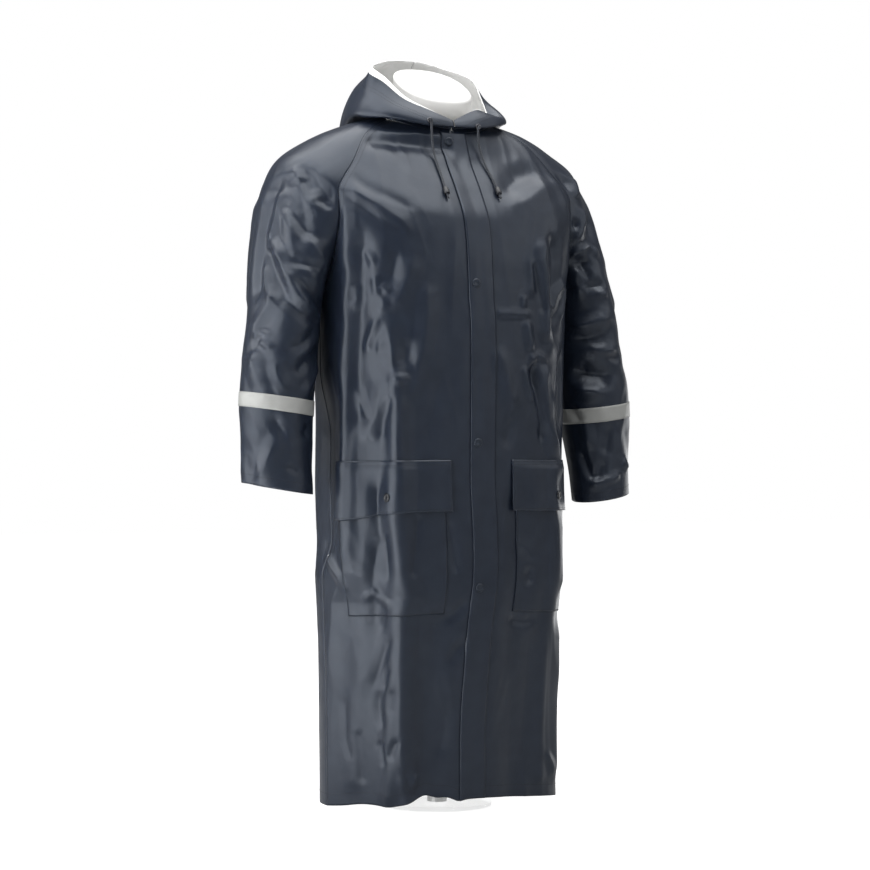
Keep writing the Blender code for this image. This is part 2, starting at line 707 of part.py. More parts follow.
def add_coat():
    navy = material("coated_navy", (0.035, 0.045, 0.065), 0.38)
    tape = material("reflective_tape", (0.62, 0.62, 0.6), 0.45)
    dark_plastic = material("dark_plastic", (0.03, 0.032, 0.038), 0.4)
    cord_finish = material("navy_cord", (0.03, 0.036, 0.05), 0.8)
    dark_metal = material("dark_metal", (0.12, 0.12, 0.13), 0.35, 1.0)

    right_front = front(RIGHT, FRONT_RIGHT_FOLDS)
    left_front = front(LEFT, FRONT_LEFT_FOLDS)
    cloth("front_right", right_front, navy)
    cloth("front_left", left_front, navy)
    cloth("back", back(), navy)
    for side_name, side in (("right", RIGHT), ("left", LEFT)):
        arm = sleeve(side, SLEEVE_FOLDS)
        cloth("sleeve_" + side_name, arm, navy)
        first = TUBE_FROM + TUBE_LEVELS.index(TAPE_ROWS[0])
        band = cut_out(arm, slice(first, first + 2), slice(None))._replace(tube_from=0)
        cloth("tape_" + side_name, moved_out(band, LAY), tape, wall=TAPE_WALL, outward=True)
        hood_half = hood(side)
        cloth("hood_" + side_name, hood_half, navy)
        add_drawcord(side_name, hood_half, cord_finish, dark_plastic, dark_metal)

    lift = np.concatenate((np.linspace(1, 0, 3) * FREE_EDGE_LIFT, (0, 0)))
    strip = moved_out(placket(right_front, left_front), LAY + lift)
    cloth("placket", strip, navy, outward=True)
    for number, level in enumerate(SNAP_LEVELS, 1):
        add_snap("snap_%d" % number, strip, row_at(strip, 1, level),
                 SNAP_INSET / (PLACKET_HALF / 2), dark_plastic)
    add_pocket("right", right_front, navy, dark_plastic)
    add_pocket("left", left_front, navy, dark_plastic)


# ---------------------------------------------------------------- the dress form
FORM_SIDES = 28


def form_ring(ring):
    """One level ring of the torso, a superellipse about its own middle."""
    middle = (ring.front + ring.back) / 2
    depth = (ring.back - ring.front) / 2
    angles = np.arange(FORM_SIDES) * 2 * math.pi / FORM_SIDES
    cosines = np.cos(angles)
    sines = np.sin(angles)
    power = 2 / FORM_EXPONENT
    across = ring.half_width * np.sign(cosines) * np.abs(cosines) ** power
    along = middle + depth * np.sign(sines) * np.abs(sines) ** power
    return np.stack((across, along, np.full(FORM_SIDES, float(ring.z))), 1)


def add_form():
    white = material("form_white", (0.86, 0.86, 0.84), 0.5)
    steel = material("form_steel", (0.7, 0.7, 0.7), 0.35, 1.0)
    clear = material("form_clear", (0.9, 0.93, 0.93), 0.1)
    rings = [form_ring(ring) for ring in FORM_RINGS]
    neck = rings[-1]
    for inset, below in ((0, NECK_ROUNDING), (NECK_ROUNDING, 0)):
        middle = neck.mean(0)
        ring = middle + (neck - middle) * (1 - inset / FORM_RINGS[-1].half_width)
        ring[:, 2] = (NECK_TOP_LEVEL + NECK_SLOPE_X * ring[:, 0]
                      + NECK_SLOPE_Y * (ring[:, 1] - middle[1]) - below)
        rings.append(ring)
    vertices = np.concatenate(rings) * MM
    faces = []
    for low in range(len(rings) - 1):
        for side in range(FORM_SIDES):
            after = (side + 1) % FORM_SIDES
            faces.append((low * FORM_SIDES + side, low * FORM_SIDES + after,
                          (low + 1) * FORM_SIDES + after, (low + 1) * FORM_SIDES + side))
    faces.append(tuple(reversed(range(FORM_SIDES))))
    faces.append(tuple(range((len(rings) - 1) * FORM_SIDES, len(rings) * FORM_SIDES)))
    add_object("form_torso", mesh_from("form_torso", vertices, faces), white)

    bottom = FORM_RINGS[0].z
    turned("form_pole", [(0, bottom - LAY), (POLE_RADIUS, bottom - LAY),
                         (POLE_RADIUS, BASE_HEIGHT + LAY), (0, BASE_HEIGHT + LAY)], steel, 16)
    turned("form_base", [(0, BASE_HEIGHT), (BASE_RADIUS - BASE_BEVEL, BASE_HEIGHT),
                         (BASE_RADIUS, BASE_HEIGHT - BASE_BEVEL), (BASE_RADIUS, 0), (0, 0)],
           clear, 32)


# ---------------------------------------------------------------- the scene
for old in list(bpy.data.objects):
    bpy.data.objects.remove(old, do_unlink=True)
bpy.context.scene.collection.children.link(coat)
add_coat()
add_form()
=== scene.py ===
"""Looks of the raincoat and its dress form.

The camera comes first.  The tables and the surfaces made from them follow, then the
materials and the pieces: the drawcords, the cloth as fine shells with its creases and
sewing, the snaps and the form.  The floor and the lights come last.  Sizes are in
millimetres, in the model's frame.  Most repeat the solids' own; the hood, the pockets,
the skirt's flat parts, the hem and the neck are fitted closer to the photograph.
"""

import math
from collections import namedtuple

import bpy
import numpy as np
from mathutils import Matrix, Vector


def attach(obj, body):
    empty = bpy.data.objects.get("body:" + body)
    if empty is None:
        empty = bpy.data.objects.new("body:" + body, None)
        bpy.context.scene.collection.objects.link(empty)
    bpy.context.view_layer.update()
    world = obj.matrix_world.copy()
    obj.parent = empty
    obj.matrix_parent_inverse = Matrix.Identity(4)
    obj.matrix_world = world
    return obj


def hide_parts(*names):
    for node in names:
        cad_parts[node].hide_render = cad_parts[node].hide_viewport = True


MM = 0.001
RIGHT = -1
LEFT = 1
SIDES = (("right", RIGHT), ("left", LEFT))

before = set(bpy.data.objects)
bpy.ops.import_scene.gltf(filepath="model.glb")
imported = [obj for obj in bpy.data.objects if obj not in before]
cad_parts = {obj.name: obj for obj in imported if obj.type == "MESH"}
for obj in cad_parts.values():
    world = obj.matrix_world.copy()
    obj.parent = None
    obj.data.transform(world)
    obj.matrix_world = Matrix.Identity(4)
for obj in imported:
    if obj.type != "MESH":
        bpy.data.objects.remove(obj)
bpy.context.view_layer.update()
scene = bpy.context.scene

# ---------------------------------------------------------------- camera
CAMERA_AZIMUTH = -27.0
CAMERA_DISTANCE = 4500.0
CAMERA_LEVEL = 646.0
CAMERA_ASIDE = -3.5         # across the view; the coat stands a little right of centre
CAMERA_CLIP = 40            # in metres
VIEW_WIDTH = 1522.5         # of the photograph's frame, at the form's axis
SENSOR_WIDTH = 36.0


def linked(name, data):
    made = bpy.data.objects.new(name, data)
    scene.collection.objects.link(made)
    return made


def add_camera():
    azimuth = math.radians(CAMERA_AZIMUTH)
    towards = Vector((math.sin(azimuth), -math.cos(azimuth), 0))
    across = Vector((math.cos(azimuth), math.sin(azimuth), 0))
    data = bpy.data.cameras.new("camera")
    data.sensor_width = SENSOR_WIDTH
    data.lens = SENSOR_WIDTH * CAMERA_DISTANCE / VIEW_WIDTH
    data.clip_end = CAMERA_CLIP
    camera = linked("camera", data)
    place = towards * CAMERA_DISTANCE + across * CAMERA_ASIDE + Vector((0, 0, CAMERA_LEVEL))
    camera.location = place * MM
    camera.rotation_euler = (math.pi / 2, 0, azimuth)
    scene.camera = camera


add_camera()

# ---------------------------------------------------------------- sizes of the cloth
WALL = 1.6                  # coated cloth, doubled at its seams
SEAM = 0.06                 # between two pieces at a seam; the solids keep 0.3
LAY = 0.3                   # between a piece and what it lies on
FRONT_EXPONENT = 2.5        # how square the fronts' level sections are
BACK_EXPONENT = 2.2
HEM_LEVEL = 12.0
FIRST_LEVEL = 840.0
FIRST_LEVEL_STATION = 9     # from here down the sections are level, to the hem
UNDERARM_STATION = 8
FINE = 3.4                  # between two lines of a grid

PLACKET_HALF = 24.0
POCKET_ROWS = (590.0, 337.0)        # top edge, under the flap, and bottom edge
POCKET_SHARES = (0.155, 0.785)      # inner and outer edge, along the front's section
POCKET_FULLNESS = 4.0
FLAP_ROWS = (602.0, 514.0)
FLAP_SHARES = (0.115, 0.80)
FLAP_LIFT = 3.0             # its lower edge hangs this much further off the pocket
FLAP_DROOP = 13.0           # of the right flap's outer corner
FREE_EDGE_LIFT = 0.8        # of the placket, off the right front
SNAP_RADIUS = 7.5
SNAP_RISE = 2.2
SNAP_SEAT = 0.45
SNAP_LEVELS = (1152.0, 903.0, 633.0, 388.0)
SNAP_INSET = 13.5           # from the placket's free edge to the cap's centre
SNAP_UP_FLAP = 27.0         # above a pocket flap's lower edge
TAPE_WALL = 1.0
LEFT_SLEEVE_DROP = 20.0     # the left cuff hangs this much lower
HOOD_STAND = 0.2            # of the hood's lower edge, over the neckline
HOOD_SEAM = 0.4             # at its outer face, where the two halves meet
LIP_ROWS = 4                # of the hood's lining, turned up past its rim
LIP_WIDTH = 13.0
LIP_HEIGHT = 0.8
LEFT_LIP = 0.3              # how much of that the left half shows
CORD_RADIUS = 2.0
CORD_STEP = 8.0             # between two points of a cord
CORD_START = 0.7            # off the hood, inside the eyelet
CORD_TAIL = 9.0             # bare cord below its bell
BELL_RADIUS = 5.0
BELL_LENGTH = 15.0
BELL_BORE = 2.5
EYELET_RADIUS = 4.2
EYELET_WIRE = 1.0
EYELET_SHARES = {"right": (0.64, 3 / 16), "left": (0.52, 2.6 / 16)}  # up and along the hood


def rows_of(kind, *rows):
    """A table: each row as a named tuple of its kind."""
    return [kind(*row) for row in rows]


# Stations 1 to 8 run from the neckline down the raglan seam to the underarm; the rest
# are level, one each 138 mm, to the hem.
Rib = namedtuple("Rib", "centre_x centre_y centre_z edge_x edge_y edge_z spread")
FRONT_RIBS = rows_of(
    Rib,
    (0, -60, 1168, 100, -5, 1192, 125),
    (0, -76, 1123, 150, -30, 1165, 200),
    (0, -116, 1064, 190, -60, 1112, 235),
    (0, -148, 1010, 225, -75, 1056, 250),
    (0, -158, 965, 224, -78, 1013, 240),
    (0, -163, 925, 226, -62, 958, 233),
    (0, -165, 898, 227, -35, 913, 229),
    (0, -166, 880, 227, -2, 888, 227),
    (2, -168, 838, 225, -2, 840, 225),
    (4, -170, 702, 222, -2, 702, 222),
    (6, -170, 567, 221, -2, 564, 221),
    (10, -170, 431, 218, -2, 426, 218),
    (-1, -165, 299, 213, -2, 288, 213),
    (-8, -158, 165, 210, -2, 150, 210),
    (-11, -155, 30, 212, -2, 12, 212),
)
BACK_RIBS = rows_of(
    Rib,
    (0, 88, 1203, 90, 56, 1200, 118),
    (0, 118, 1162, 150, 95, 1158, 200),
    (0, 138, 1110, 195, 115, 1108, 240),
    (0, 148, 1054, 222, 122, 1053, 250),
    (0, 151, 998, 226, 112, 998, 242),
    (0, 151, 948, 228, 85, 948, 236),
    (0, 150, 908, 228, 45, 908, 232),
    (0, 149, 886, 227, -2, 888, 227),
    (0, 147, 840, 225, -2, 840, 225),
    (0, 145, 702, 222, -2, 702, 222),
    (0, 144, 564, 221, -2, 564, 221),
    (0, 141, 426, 218, -2, 426, 218),
    (0, 140, 288, 213, -2, 288, 213),
    (0, 142, 150, 210, -2, 150, 210),
    (0, 144, 12, 212, -2, 12, 212),
)

# How far each level station hangs off the form's middle, to the wearer's right.
SWAY = [0, 0, 0, 0, 0, 0, 0, 0, 0, 2, 5, 4, 4, 4, 1]

# The sleeve's crown over the same stations, as its outermost point.  Wrap is half the
# angle that the section takes round its own axis; from the sixth station down it follows
# from the section's half depth, and the section closes to a tube at the eighth.
CROWNS = [(96, 24, 1202), (172, 34, 1179), (230, 42, 1153), (281, 48, 1117),
          (308, 42, 1064), (326, 30, 995), (338, 15, 934), (347, 3, 883.5)]
WRAPS = [50, 62, 76, 90, 105, 126]
CLOSING_STATIONS = (6, 8)
CLOSING_DEPTHS = (90.8, 82.0)
# Below the underarm the sleeve is a tube: its long axis turns in by toe, and its outer
# side stands higher than its middle by rise.
Ring = namedtuple("Ring", "z centre_x centre_y across deep toe rise")
RINGS = rows_of(
    Ring,
    (886, 287.4, 3, 60, 82, 0, -2.5),
    (840, 293, -1, 61, 78, 3, 2),
    (770, 303, -6, 63, 72, 8, 5),
    (711, 310, -10, 63, 66, 13, 8.5),
    (640, 314, -18, 61, 56, 20, 9),
    (590, 316, -24, 60, 50, 25, 10),
    (556, 316, -27, 60, 47.5, 27, 10),
)
TAPE_ROWS = (711.0, 686.0)

# The hood lies back round the neck.  Each station of a half hood runs from the neckline
# down and out to its roll, and up to the rim; share is its place along the half neckline.
HoodRib = namedtuple("HoodRib", "share under roll mid rim")
HOOD_RIBS = {RIGHT: rows_of(
    HoodRib,
    (0.0, (1, -55, 1176), (1, -67, 1178), (1, -66, 1184), (1, -62, 1190)),
    (0.2, (44, -46, 1182), (54, -68, 1179), (50, -66, 1192), (40, -54, 1206)),
    (0.38, (90, -24, 1194), (111, -46, 1189), (104, -46, 1206), (80, -32, 1226)),
    (0.5, (114, -2, 1199), (141, -10, 1194), (131, -12, 1224), (108, -8, 1256)),
    (0.62, (124, 26, 1200), (150, 29, 1200), (137, 24, 1238), (124, 18, 1275)),
    (0.74, (118, 62, 1194), (142, 82, 1190), (128, 78, 1248), (86, 62, 1292)),
    (0.87, (66, 104, 1186), (108, 150, 1152), (92, 164, 1226), (28, 110, 1313)),
    (1.0, (0, 122, 1180), (0, 186, 1130), (-6, 214, 1216), (-20, 130, 1319)),
), LEFT: rows_of(
    HoodRib,
    (0.0, (1, -55, 1176), (1, -67, 1178), (1, -66, 1184), (1, -62, 1190)),
    (0.2, (44, -48, 1182), (54, -66, 1179), (53, -62, 1194), (44, -50, 1210)),
    (0.38, (90, -26, 1194), (104, -43, 1188), (98, -42, 1202), (70, -34, 1213)),
    (0.5, (114, -4, 1199), (132, -9, 1196), (126, -12, 1207), (102, -4, 1201)),
    (0.62, (124, 26, 1200), (149, 33, 1200), (135, 34, 1227), (107, 36, 1246)),
    (0.74, (118, 62, 1194), (154, 84, 1192), (132, 82, 1230), (104, 66, 1280)),
    (0.87, (66, 104, 1186), (112, 156, 1154), (112, 158, 1222), (72, 110, 1304)),
    (1.0, (0, 122, 1180), (0, 186, 1130), (6, 214, 1216), (20, 130, 1319)),
)}

# The largest folds, as soft ridges (and, below zero, troughs) along a line.  Along is the
# way round the piece from its centre line; on a sleeve it is degrees from the outside.
Fold = namedtuple("Fold", "from_along from_z to_along to_z width height")
FRONT_FOLDS = {RIGHT: rows_of(
    Fold,
    (152, 740, 150, 40, 15, 6),
    (185, 560, 192, 330, 16, -5),
    (80, 330, 66, 40, 26, -7),
    (215, 300, 222, 60, 20, 4),
), LEFT: rows_of(
    Fold,
    (150, 700, 152, 60, 15, 5),
    (70, 520, 84, 40, 26, -5),
    (120, 960, 150, 800, 18, 4),
)}
BACK_FOLDS = rows_of(
    Fold,
    (-62, 780, -84, 30, 26, -8),
    (70, 720, 92, 30, 26, -9),
    (4, 660, 8, 30, 24, 7),
    (-150, 620, -158, 30, 20, 7),
    (152, 660, 164, 30, 20, 6),
    (-60, 1085, -160, 960, 20, -5),
    (70, 1080, 165, 950, 20, -5),
)
SLEEVE_FOLDS = rows_of(
    Fold,
    (-35, 1090, -88, 985, 18, -5),
    (-52, 930, -25, 790, 18, -5),
    (55, 1040, 80, 930, 18, -5),
    (-70, 650, -40, 570, 16, -4),
)

# The free ends of the drawcord, from the eyelets down over the chest to their tips.
CORD_ROUTES = {
    "right": [(-47.5, -72.5, 1184), (-47.5, -73, 1168), (-47, -74, 1150), (-46, -79, 1128),
              (-45, -89, 1111), (-45, -104.5, 1089), (-46, -121.5, 1066), (-46, -134, 1048)],
    "left": [(43, -73, 1177), (42.5, -73.5, 1162), (44, -76.5, 1142), (47, -84, 1121),
             (51, -97, 1099), (54, -110, 1082), (55, -119, 1070), (56, -132, 1052)],
}

# The dress form, from its lowest ring up to the neck.
FormRing = namedtuple("FormRing", "z half_width front back")
FORM_RINGS = rows_of(
    FormRing,
    (470, 60, -50, 50),
    (474, 140, -95, 95),
    (500, 164, -112, 112),
    (600, 170, -116, 116),
    (760, 150, -104, 104),
    (880, 168, -118, 116),
    (980, 184, -122, 124),
    (1050, 196, -104, 118),
    (1100, 204, -78, 108),
    (1138, 208, -46, 98),
    (1154, 201, -24, 88),
    (1172, 168, -22, 82),
    (1187, 120, -28, 78),
    (1198, 86, -38, 78),
    (1212, 69, -42, 78),
)
FORM_EXPONENT = 2.3
NECK_TOP_LEVEL = 1260.0     # of the cut's middle
NECK_SLOPE_X = -0.01
NECK_SLOPE_Y = 0.6
NECK_ROUNDING = 4.0
POLE_RADIUS = 17.0
BASE_RADIUS = 95.0
BASE_HEIGHT = 6.0
BASE_BEVEL = 2.0

# ---------------------------------------------------------------- interpolation
def eased(rows, at, rounded=False):
    """Row `at` of a table of numbers, read between its rows.

    It doesn't overshoot them, unless it is rounded, which makes a fuller curve.
    """
    rows = np.asarray(rows, float)
    at = min(max(at, 0.0), len(rows) - 1.0)
    low = min(int(at), len(rows) - 2)
    steps = np.diff(rows, axis=0)

    def slope(row):
        if row == 0:
            return steps[0]
        if row == len(rows) - 1:
            return steps[-1]
        before, after = steps[row - 1], steps[row]
        if rounded:
            return (before + after) / 2
        product = before * after
        total = np.where(np.abs(before + after) < 1e-9, 1.0, before + after)
        return np.where(product > 0, 2 * product / total, 0.0)

    t = at - low
    blend = t * t * (3 - 2 * t)
    return (rows[low] + (rows[low + 1] - rows[low]) * blend
            + slope(low) * (t - 2 * t ** 2 + t ** 3)
            + slope(low + 1) * (t ** 3 - t ** 2))


def eased_number(numbers, at):
    return float(eased(np.array(numbers)[:, None], at)[0])


def travelled(points):
    """How far each point of a polyline is from its start."""
    lengths = np.linalg.norm(np.diff(points, axis=0), axis=1)
    return np.concatenate(([0.0], np.cumsum(lengths)))


def length_of(points):
    return float(travelled(np.asarray(points, float))[-1])


def resampled(points, distances):
    """Points at the given distances along a polyline."""
    points = np.asarray(points, float)
    so_far = travelled(points)
    return np.stack([np.interp(distances, so_far, points[:, axis]) for axis in range(3)], 1)


def spaced(start, end, step):
    """Numbers from start to end, about step apart."""
    return np.linspace(start, end, max(2, round(abs(end - start) / step) + 1))


def smoothstep(low, high, value):
    share = np.clip((value - low) / (high - low), 0, 1)
    return share * share * (3 - 2 * share)


def from_line(along, height, start, end):
    """How far along a straight line, as a share of it, each place is, and how far off it."""
    run = np.subtract(end, start, dtype=float)
    from_start = np.stack((along - start[0], height - start[1]), -1)
    share = np.clip((from_start @ run) / (run @ run), 0, 1)
    return share, np.linalg.norm(from_start - share[..., None] * run, axis=-1)


# ---------------------------------------------------------------- surfaces
# A grid of points with its outward normals.  Along is each point's way round the piece
# from its centre line.  Turn is 1 where rows times columns, by the right hand, point out
# of the coat.  From row tube_from on, the last column is the first one again.
Surface = namedtuple("Surface", "points normals along turn tube_from")


def surface_from(points, along, turn, tube_from=None):
    across = np.gradient(points, axis=1)
    if tube_from is not None:
        ends = points[tube_from:, 1] - points[tube_from:, -2]
        across[tube_from:, 0] = ends
        across[tube_from:, -1] = ends
    normals = turn * np.cross(np.gradient(points, axis=0), across)
    normals /= np.linalg.norm(normals, axis=2, keepdims=True)
    return Surface(points, normals, along, turn, tube_from)


def moved_out(surface, distance):
    """The surface laid over itself; distance is a number, or an array of rows and columns."""
    distance = np.broadcast_to(distance, surface.points.shape[:2])
    return surface._replace(points=surface.points + surface.normals * distance[..., None])


def relieved(surface, relief):
    """The surface moved out by a relief, with the normals of its new shape."""
    points = moved_out(surface, relief).points
    return surface_from(points, surface.along, surface.turn, surface.tube_from)


def folded(surface, folds):
    """The surface with the large folds that the solids have."""
    height = surface.points[..., 2]
    relief = np.zeros(height.shape)
    for fold in folds:
        _, off = from_line(surface.along, height, (fold.from_along, fold.from_z),
                           (fold.to_along, fold.to_z))
        relief += fold.height * np.exp(-(off / fold.width) ** 2)
    return relieved(surface, relief)


# A crease is a ridge or, where its height is below zero, a trough.  Crisp is 1 for a
# sharp crest and 0 for a soft one.  Its path has a row of (way round, level) for each of
# its points; in the tables they follow the first three numbers, one after another.
Crease = namedtuple("Crease", "width height crisp path")
CREASE_FOOT = 2.0           # widths from a crisp crease's crest to its foot
CREASE_FLANK = 1.15         # 1 for straight flanks, more for hollow ones
CREASE_ROUNDING = 0.07      # widths; of a crisp crest
CREASE_SHARPER = 0.3        # added to what crisp says
CREASE_TAPER = (0.35, 2.5)  # of its length, or widths, from an end to its full height
CREASE_ENDS = 0.15          # of its height is left at its ends
CREASE_REACH = 3            # widths
FRONT_GAINS = {RIGHT: 1.2, LEFT: 1.7}
SLEEVE_GAINS = {RIGHT: 1.5, LEFT: 1.9}      # the left sleeve is crushed the most
BACK_GAIN = 1.2


def creases_of(*rows):
    return [Crease(*row[:3], np.array(row[3:], float).reshape(-1, 2)) for row in rows]


def crease_relief(along, height, crease):
    """The relief at points given by their way round and level, on and near a crease."""
    so_far = travelled(crease.path)
    nearest = np.full(along.shape, np.inf)
    place = np.zeros(along.shape)
    for before, start, end in zip(so_far, crease.path, crease.path[1:]):
        share, off = from_line(along, height, start, end)
        closer = off < nearest
        nearest = np.where(closer, off, nearest)
        place = np.where(closer, before + share * np.hypot(*(end - start)), place)
    soft = np.exp(-(nearest / crease.width) ** 2)
    foot = CREASE_FOOT * crease.width
    rounding = CREASE_ROUNDING * crease.width
    pinched = np.clip(1 - (np.hypot(nearest, rounding) - rounding) / foot, 0, 1)
    crisp = min(1, crease.crisp + CREASE_SHARPER)
    profile = soft + (pinched ** CREASE_FLANK - soft) * crisp
    taper = min(CREASE_TAPER[0] * so_far[-1], CREASE_TAPER[1] * crease.width)
    ends = smoothstep(0, taper, place) * smoothstep(0, taper, so_far[-1] - place)
    return crease.height * profile * (CREASE_ENDS + (1 - CREASE_ENDS) * ends)


# A crumple is a net of faint sharp ridges: width and length of its cells, its height, and
# how far it leans, as way round gained for each millimetre down.  Its strength wanders
# over cells that are larger by 1 / CRUMPLE_PATCHES.
Crumple = namedtuple("Crumple", "seed width length height lean")
LATTICE = 64                # cells a side, before the net repeats
LATTICE_START = 20
CRUMPLE_PATCHES = 0.4
CRUMPLE_CREST = 0.4         # the net's share of its height, where the wave crosses zero
CRUMPLE_STRENGTH = (0.6, 0.8)       # at the middle, and how far it wanders
CRUMPLE_LIMITS = (0.15, 1.4)


def lattice_noise(seed, across, down):
    """Smooth chance between -1 and 1, with one new number for each whole step."""
    chance = np.random.default_rng(seed).uniform(-1, 1, (LATTICE, LATTICE))
    column = np.floor(across).astype(int)
    row = np.floor(down).astype(int)
    right = smoothstep(0, 1, across - column)
    below = smoothstep(0, 1, down - row)

    def corner(columns_on, rows_on):
        return chance[(row + rows_on) % LATTICE, (column + columns_on) % LATTICE]

    upper = corner(0, 0) * (1 - right) + corner(1, 0) * right
    lower = corner(0, 1) * (1 - right) + corner(1, 1) * right
    return upper * (1 - below) + lower * below


def crumple_relief(along, height, crumple):
    across = (along + crumple.lean * height) / crumple.width + LATTICE_START
    down = (height - crumple.lean * along) / crumple.length + LATTICE_START
    wave = lattice_noise(crumple.seed, across, down)
    patches = lattice_noise(crumple.seed + 1, across * CRUMPLE_PATCHES, down * CRUMPLE_PATCHES)
    strength = CRUMPLE_STRENGTH[0] + CRUMPLE_STRENGTH[1] * patches
    return crumple.height * (CRUMPLE_CREST - np.abs(wave)) * np.clip(strength, *CRUMPLE_LIMITS)


def creased(surface, creases, crumples, gain, fade=1.0):
    """The surface with creases, held down by fade where the sewing keeps it flat."""
    height = surface.points[..., 2]
    relief = np.zeros(height.shape)
    for crumple in crumples:
        relief += crumple_relief(surface.along, height, crumple)
    for crease in creases:
        low = crease.path.min(0) - CREASE_REACH * crease.width
        high = crease.path.max(0) + CREASE_REACH * crease.width
        near = ((surface.along > low[0]) & (surface.along < high[0])
                & (height > low[1]) & (height < high[1]))
        relief[near] += gain * crease_relief(surface.along[near], height[near], crease)
    return relieved(surface, relief * fade)


SEWN_REACH = 16.0           # from a seam to where its piece is free to crease


def sewn_fade(surface):
    """0 on the sides and the top, where a piece is sewn, and 1 from SEWN_REACH inside."""
    steps_across = np.linalg.norm(np.diff(surface.points, axis=1), axis=2)
    steps_down = np.linalg.norm(np.diff(surface.points, axis=0), axis=2)
    from_left = np.pad(np.cumsum(steps_across, axis=1), ((0, 0), (1, 0)))
    from_top = np.pad(np.cumsum(steps_down, axis=0), ((1, 0), (0, 0)))
    fade = 1.0
    for distance in (from_left, from_left[:, -1:] - from_left, from_top):
        fade = fade * smoothstep(0, SEWN_REACH, distance)
    return fade


# ---------------------------------------------------------------- panel geometry
SECTION_POINTS = 240        # of a rib's curve
SWEEP_POINTS = 241          # of the table from levels to stations
YOKE_PITCH = 50.0           # between two stations, at their widest
SHORT_PITCH = 48.0
PLACKET_COLUMNS = 7         # over half of it
FRONT_COLUMNS = int(300 / FINE)     # over a front's girth at its widest
BACK_COLUMNS = int(330 / 5)         # over half the back; coarser, as it isn't seen


def rib_curve(rib, exponent):
    """One rib's curve from the centre line to its edge, as a cut superellipse."""
    reach = min(rib.edge_x / rib.spread, 1.0)
    stay = (1 - reach ** exponent) ** (1 / exponent)
    middle_y = (rib.edge_y - stay * rib.centre_y) / (1 - stay)
    last = math.asin(reach ** (exponent / 2))
    angles = np.linspace(0, last, SECTION_POINTS)
    across = rib.spread * np.sin(angles) ** (2 / exponent)
    depth = middle_y + (rib.centre_y - middle_y) * np.cos(angles) ** (2 / exponent)
    share = across / rib.edge_x
    height = rib.centre_z + (rib.edge_z - rib.centre_z) * share ** 2
    curve = np.stack((across + rib.centre_x * (1 - share), depth, height), 1)
    return resampled(curve, np.linspace(0, length_of(curve), SECTION_POINTS))


FRONT_CURVES = {side: [rib_curve(rib._replace(centre_x=rib.centre_x * side), FRONT_EXPONENT)
                       for rib in FRONT_RIBS] for side in (RIGHT, LEFT)}
BACK_CURVES = [rib_curve(rib, BACK_EXPONENT) for rib in BACK_RIBS]


def edge_at(table, station):
    """Where a rib between the table's stations ends, at its seam."""
    rib = Rib(*eased(table, station - 1))
    return np.array([rib.edge_x, rib.edge_y, rib.edge_z])


LEVEL_STATIONS = np.linspace(FIRST_LEVEL_STATION, len(FRONT_RIBS), SWEEP_POINTS)
STATION_LEVELS = np.array([edge_at(FRONT_RIBS, station)[2] for station in LEVEL_STATIONS])


def station_of(level):
    """The skirt's station at a height."""
    return np.interp(-np.asarray(level, float), -STATION_LEVELS, LEVEL_STATIONS)


def hung_at(station, points):
    """A section moved aside by the sway of its station."""
    return points - (eased_number(SWAY, station - 1), 0, 0)


def mirrored(points, side):
    """The same points on the wearer's other side, where side is RIGHT."""
    points = np.array(points, float)
    points[..., 0] *= side
    return points


YOKE_STATIONS = spaced(1, UNDERARM_STATION, FINE / YOKE_PITCH)
SHORT_STATIONS = spaced(UNDERARM_STATION, FIRST_LEVEL_STATION, FINE / SHORT_PITCH)[1:-1]
SKIRT_STATIONS = station_of(spaced(FIRST_LEVEL, HEM_LEVEL, FINE))
PANEL_STATIONS = np.concatenate((YOKE_STATIONS, SHORT_STATIONS, SKIRT_STATIONS))

# Where a front hangs flat between two lines down it, as rows of a level and the lines'
# ways round, from the top down; strength is how much of the curve between them is lost.
Facet = namedtuple("Facet", "rows strength")
FACET_CLEAR = 3.0           # from a facet's end to the side seam, at least
FACET_EASE = 150.0          # down from its top, to where a facet is whole
FACETS = {
    RIGHT: [Facet([(900, 172, 236), (650, 152, 246), (534, 150, 252), (414, 142, 262),
                   (360, 138, 292), (0, 122, 298)], 0.9),
            Facet([(640, 30, 134), (0, 26, 120)], 0.6)],
    LEFT: [Facet([(620, 40, 150), (0, 30, 176)], 0.6)],
}


def flattened(curve, facet):
    level = curve[-1, 2]
    rows = np.array(facet.rows, float)
    start = np.interp(-level, -rows[:, 0], rows[:, 1])
    end = np.interp(-level, -rows[:, 0], rows[:, 2])
    top = rows[0, 0]
    strength = facet.strength * smoothstep(top, top - FACET_EASE, level)
    way = travelled(curve)
    end = min(end, way[-1] - FACET_CLEAR)
    chord_start, chord_end = resampled(curve, [start, end])
    part = np.clip((way - start) / (end - start), 0, 1)[:, None]
    chord = chord_start + (chord_end - chord_start) * part
    inside = ((way > start) & (way < end))[:, None]
    return np.where(inside, curve + (chord - curve) * strength, curve)


def front_surface(side, stations, steps_for):
    """Part of a front; steps_for gives its columns' distances for a section's length."""
    rows = []
    along = []
    for station in stations:
        curve = eased(FRONT_CURVES[side], station - 1)
        for facet in FACETS[side]:
            curve = flattened(curve, facet)
        steps = steps_for(length_of(curve) - SEAM)
        rows.append(hung_at(station, mirrored(resampled(curve, steps), side)))
        along.append(steps)
    return folded(surface_from(np.array(rows), np.array(along), side), FRONT_FOLDS[side])


def whole_front(whole):
    over_placket = np.linspace(SEAM / 2, PLACKET_HALF, PLACKET_COLUMNS)
    return np.concatenate((over_placket, np.linspace(PLACKET_HALF, whole, FRONT_COLUMNS)[1:]))


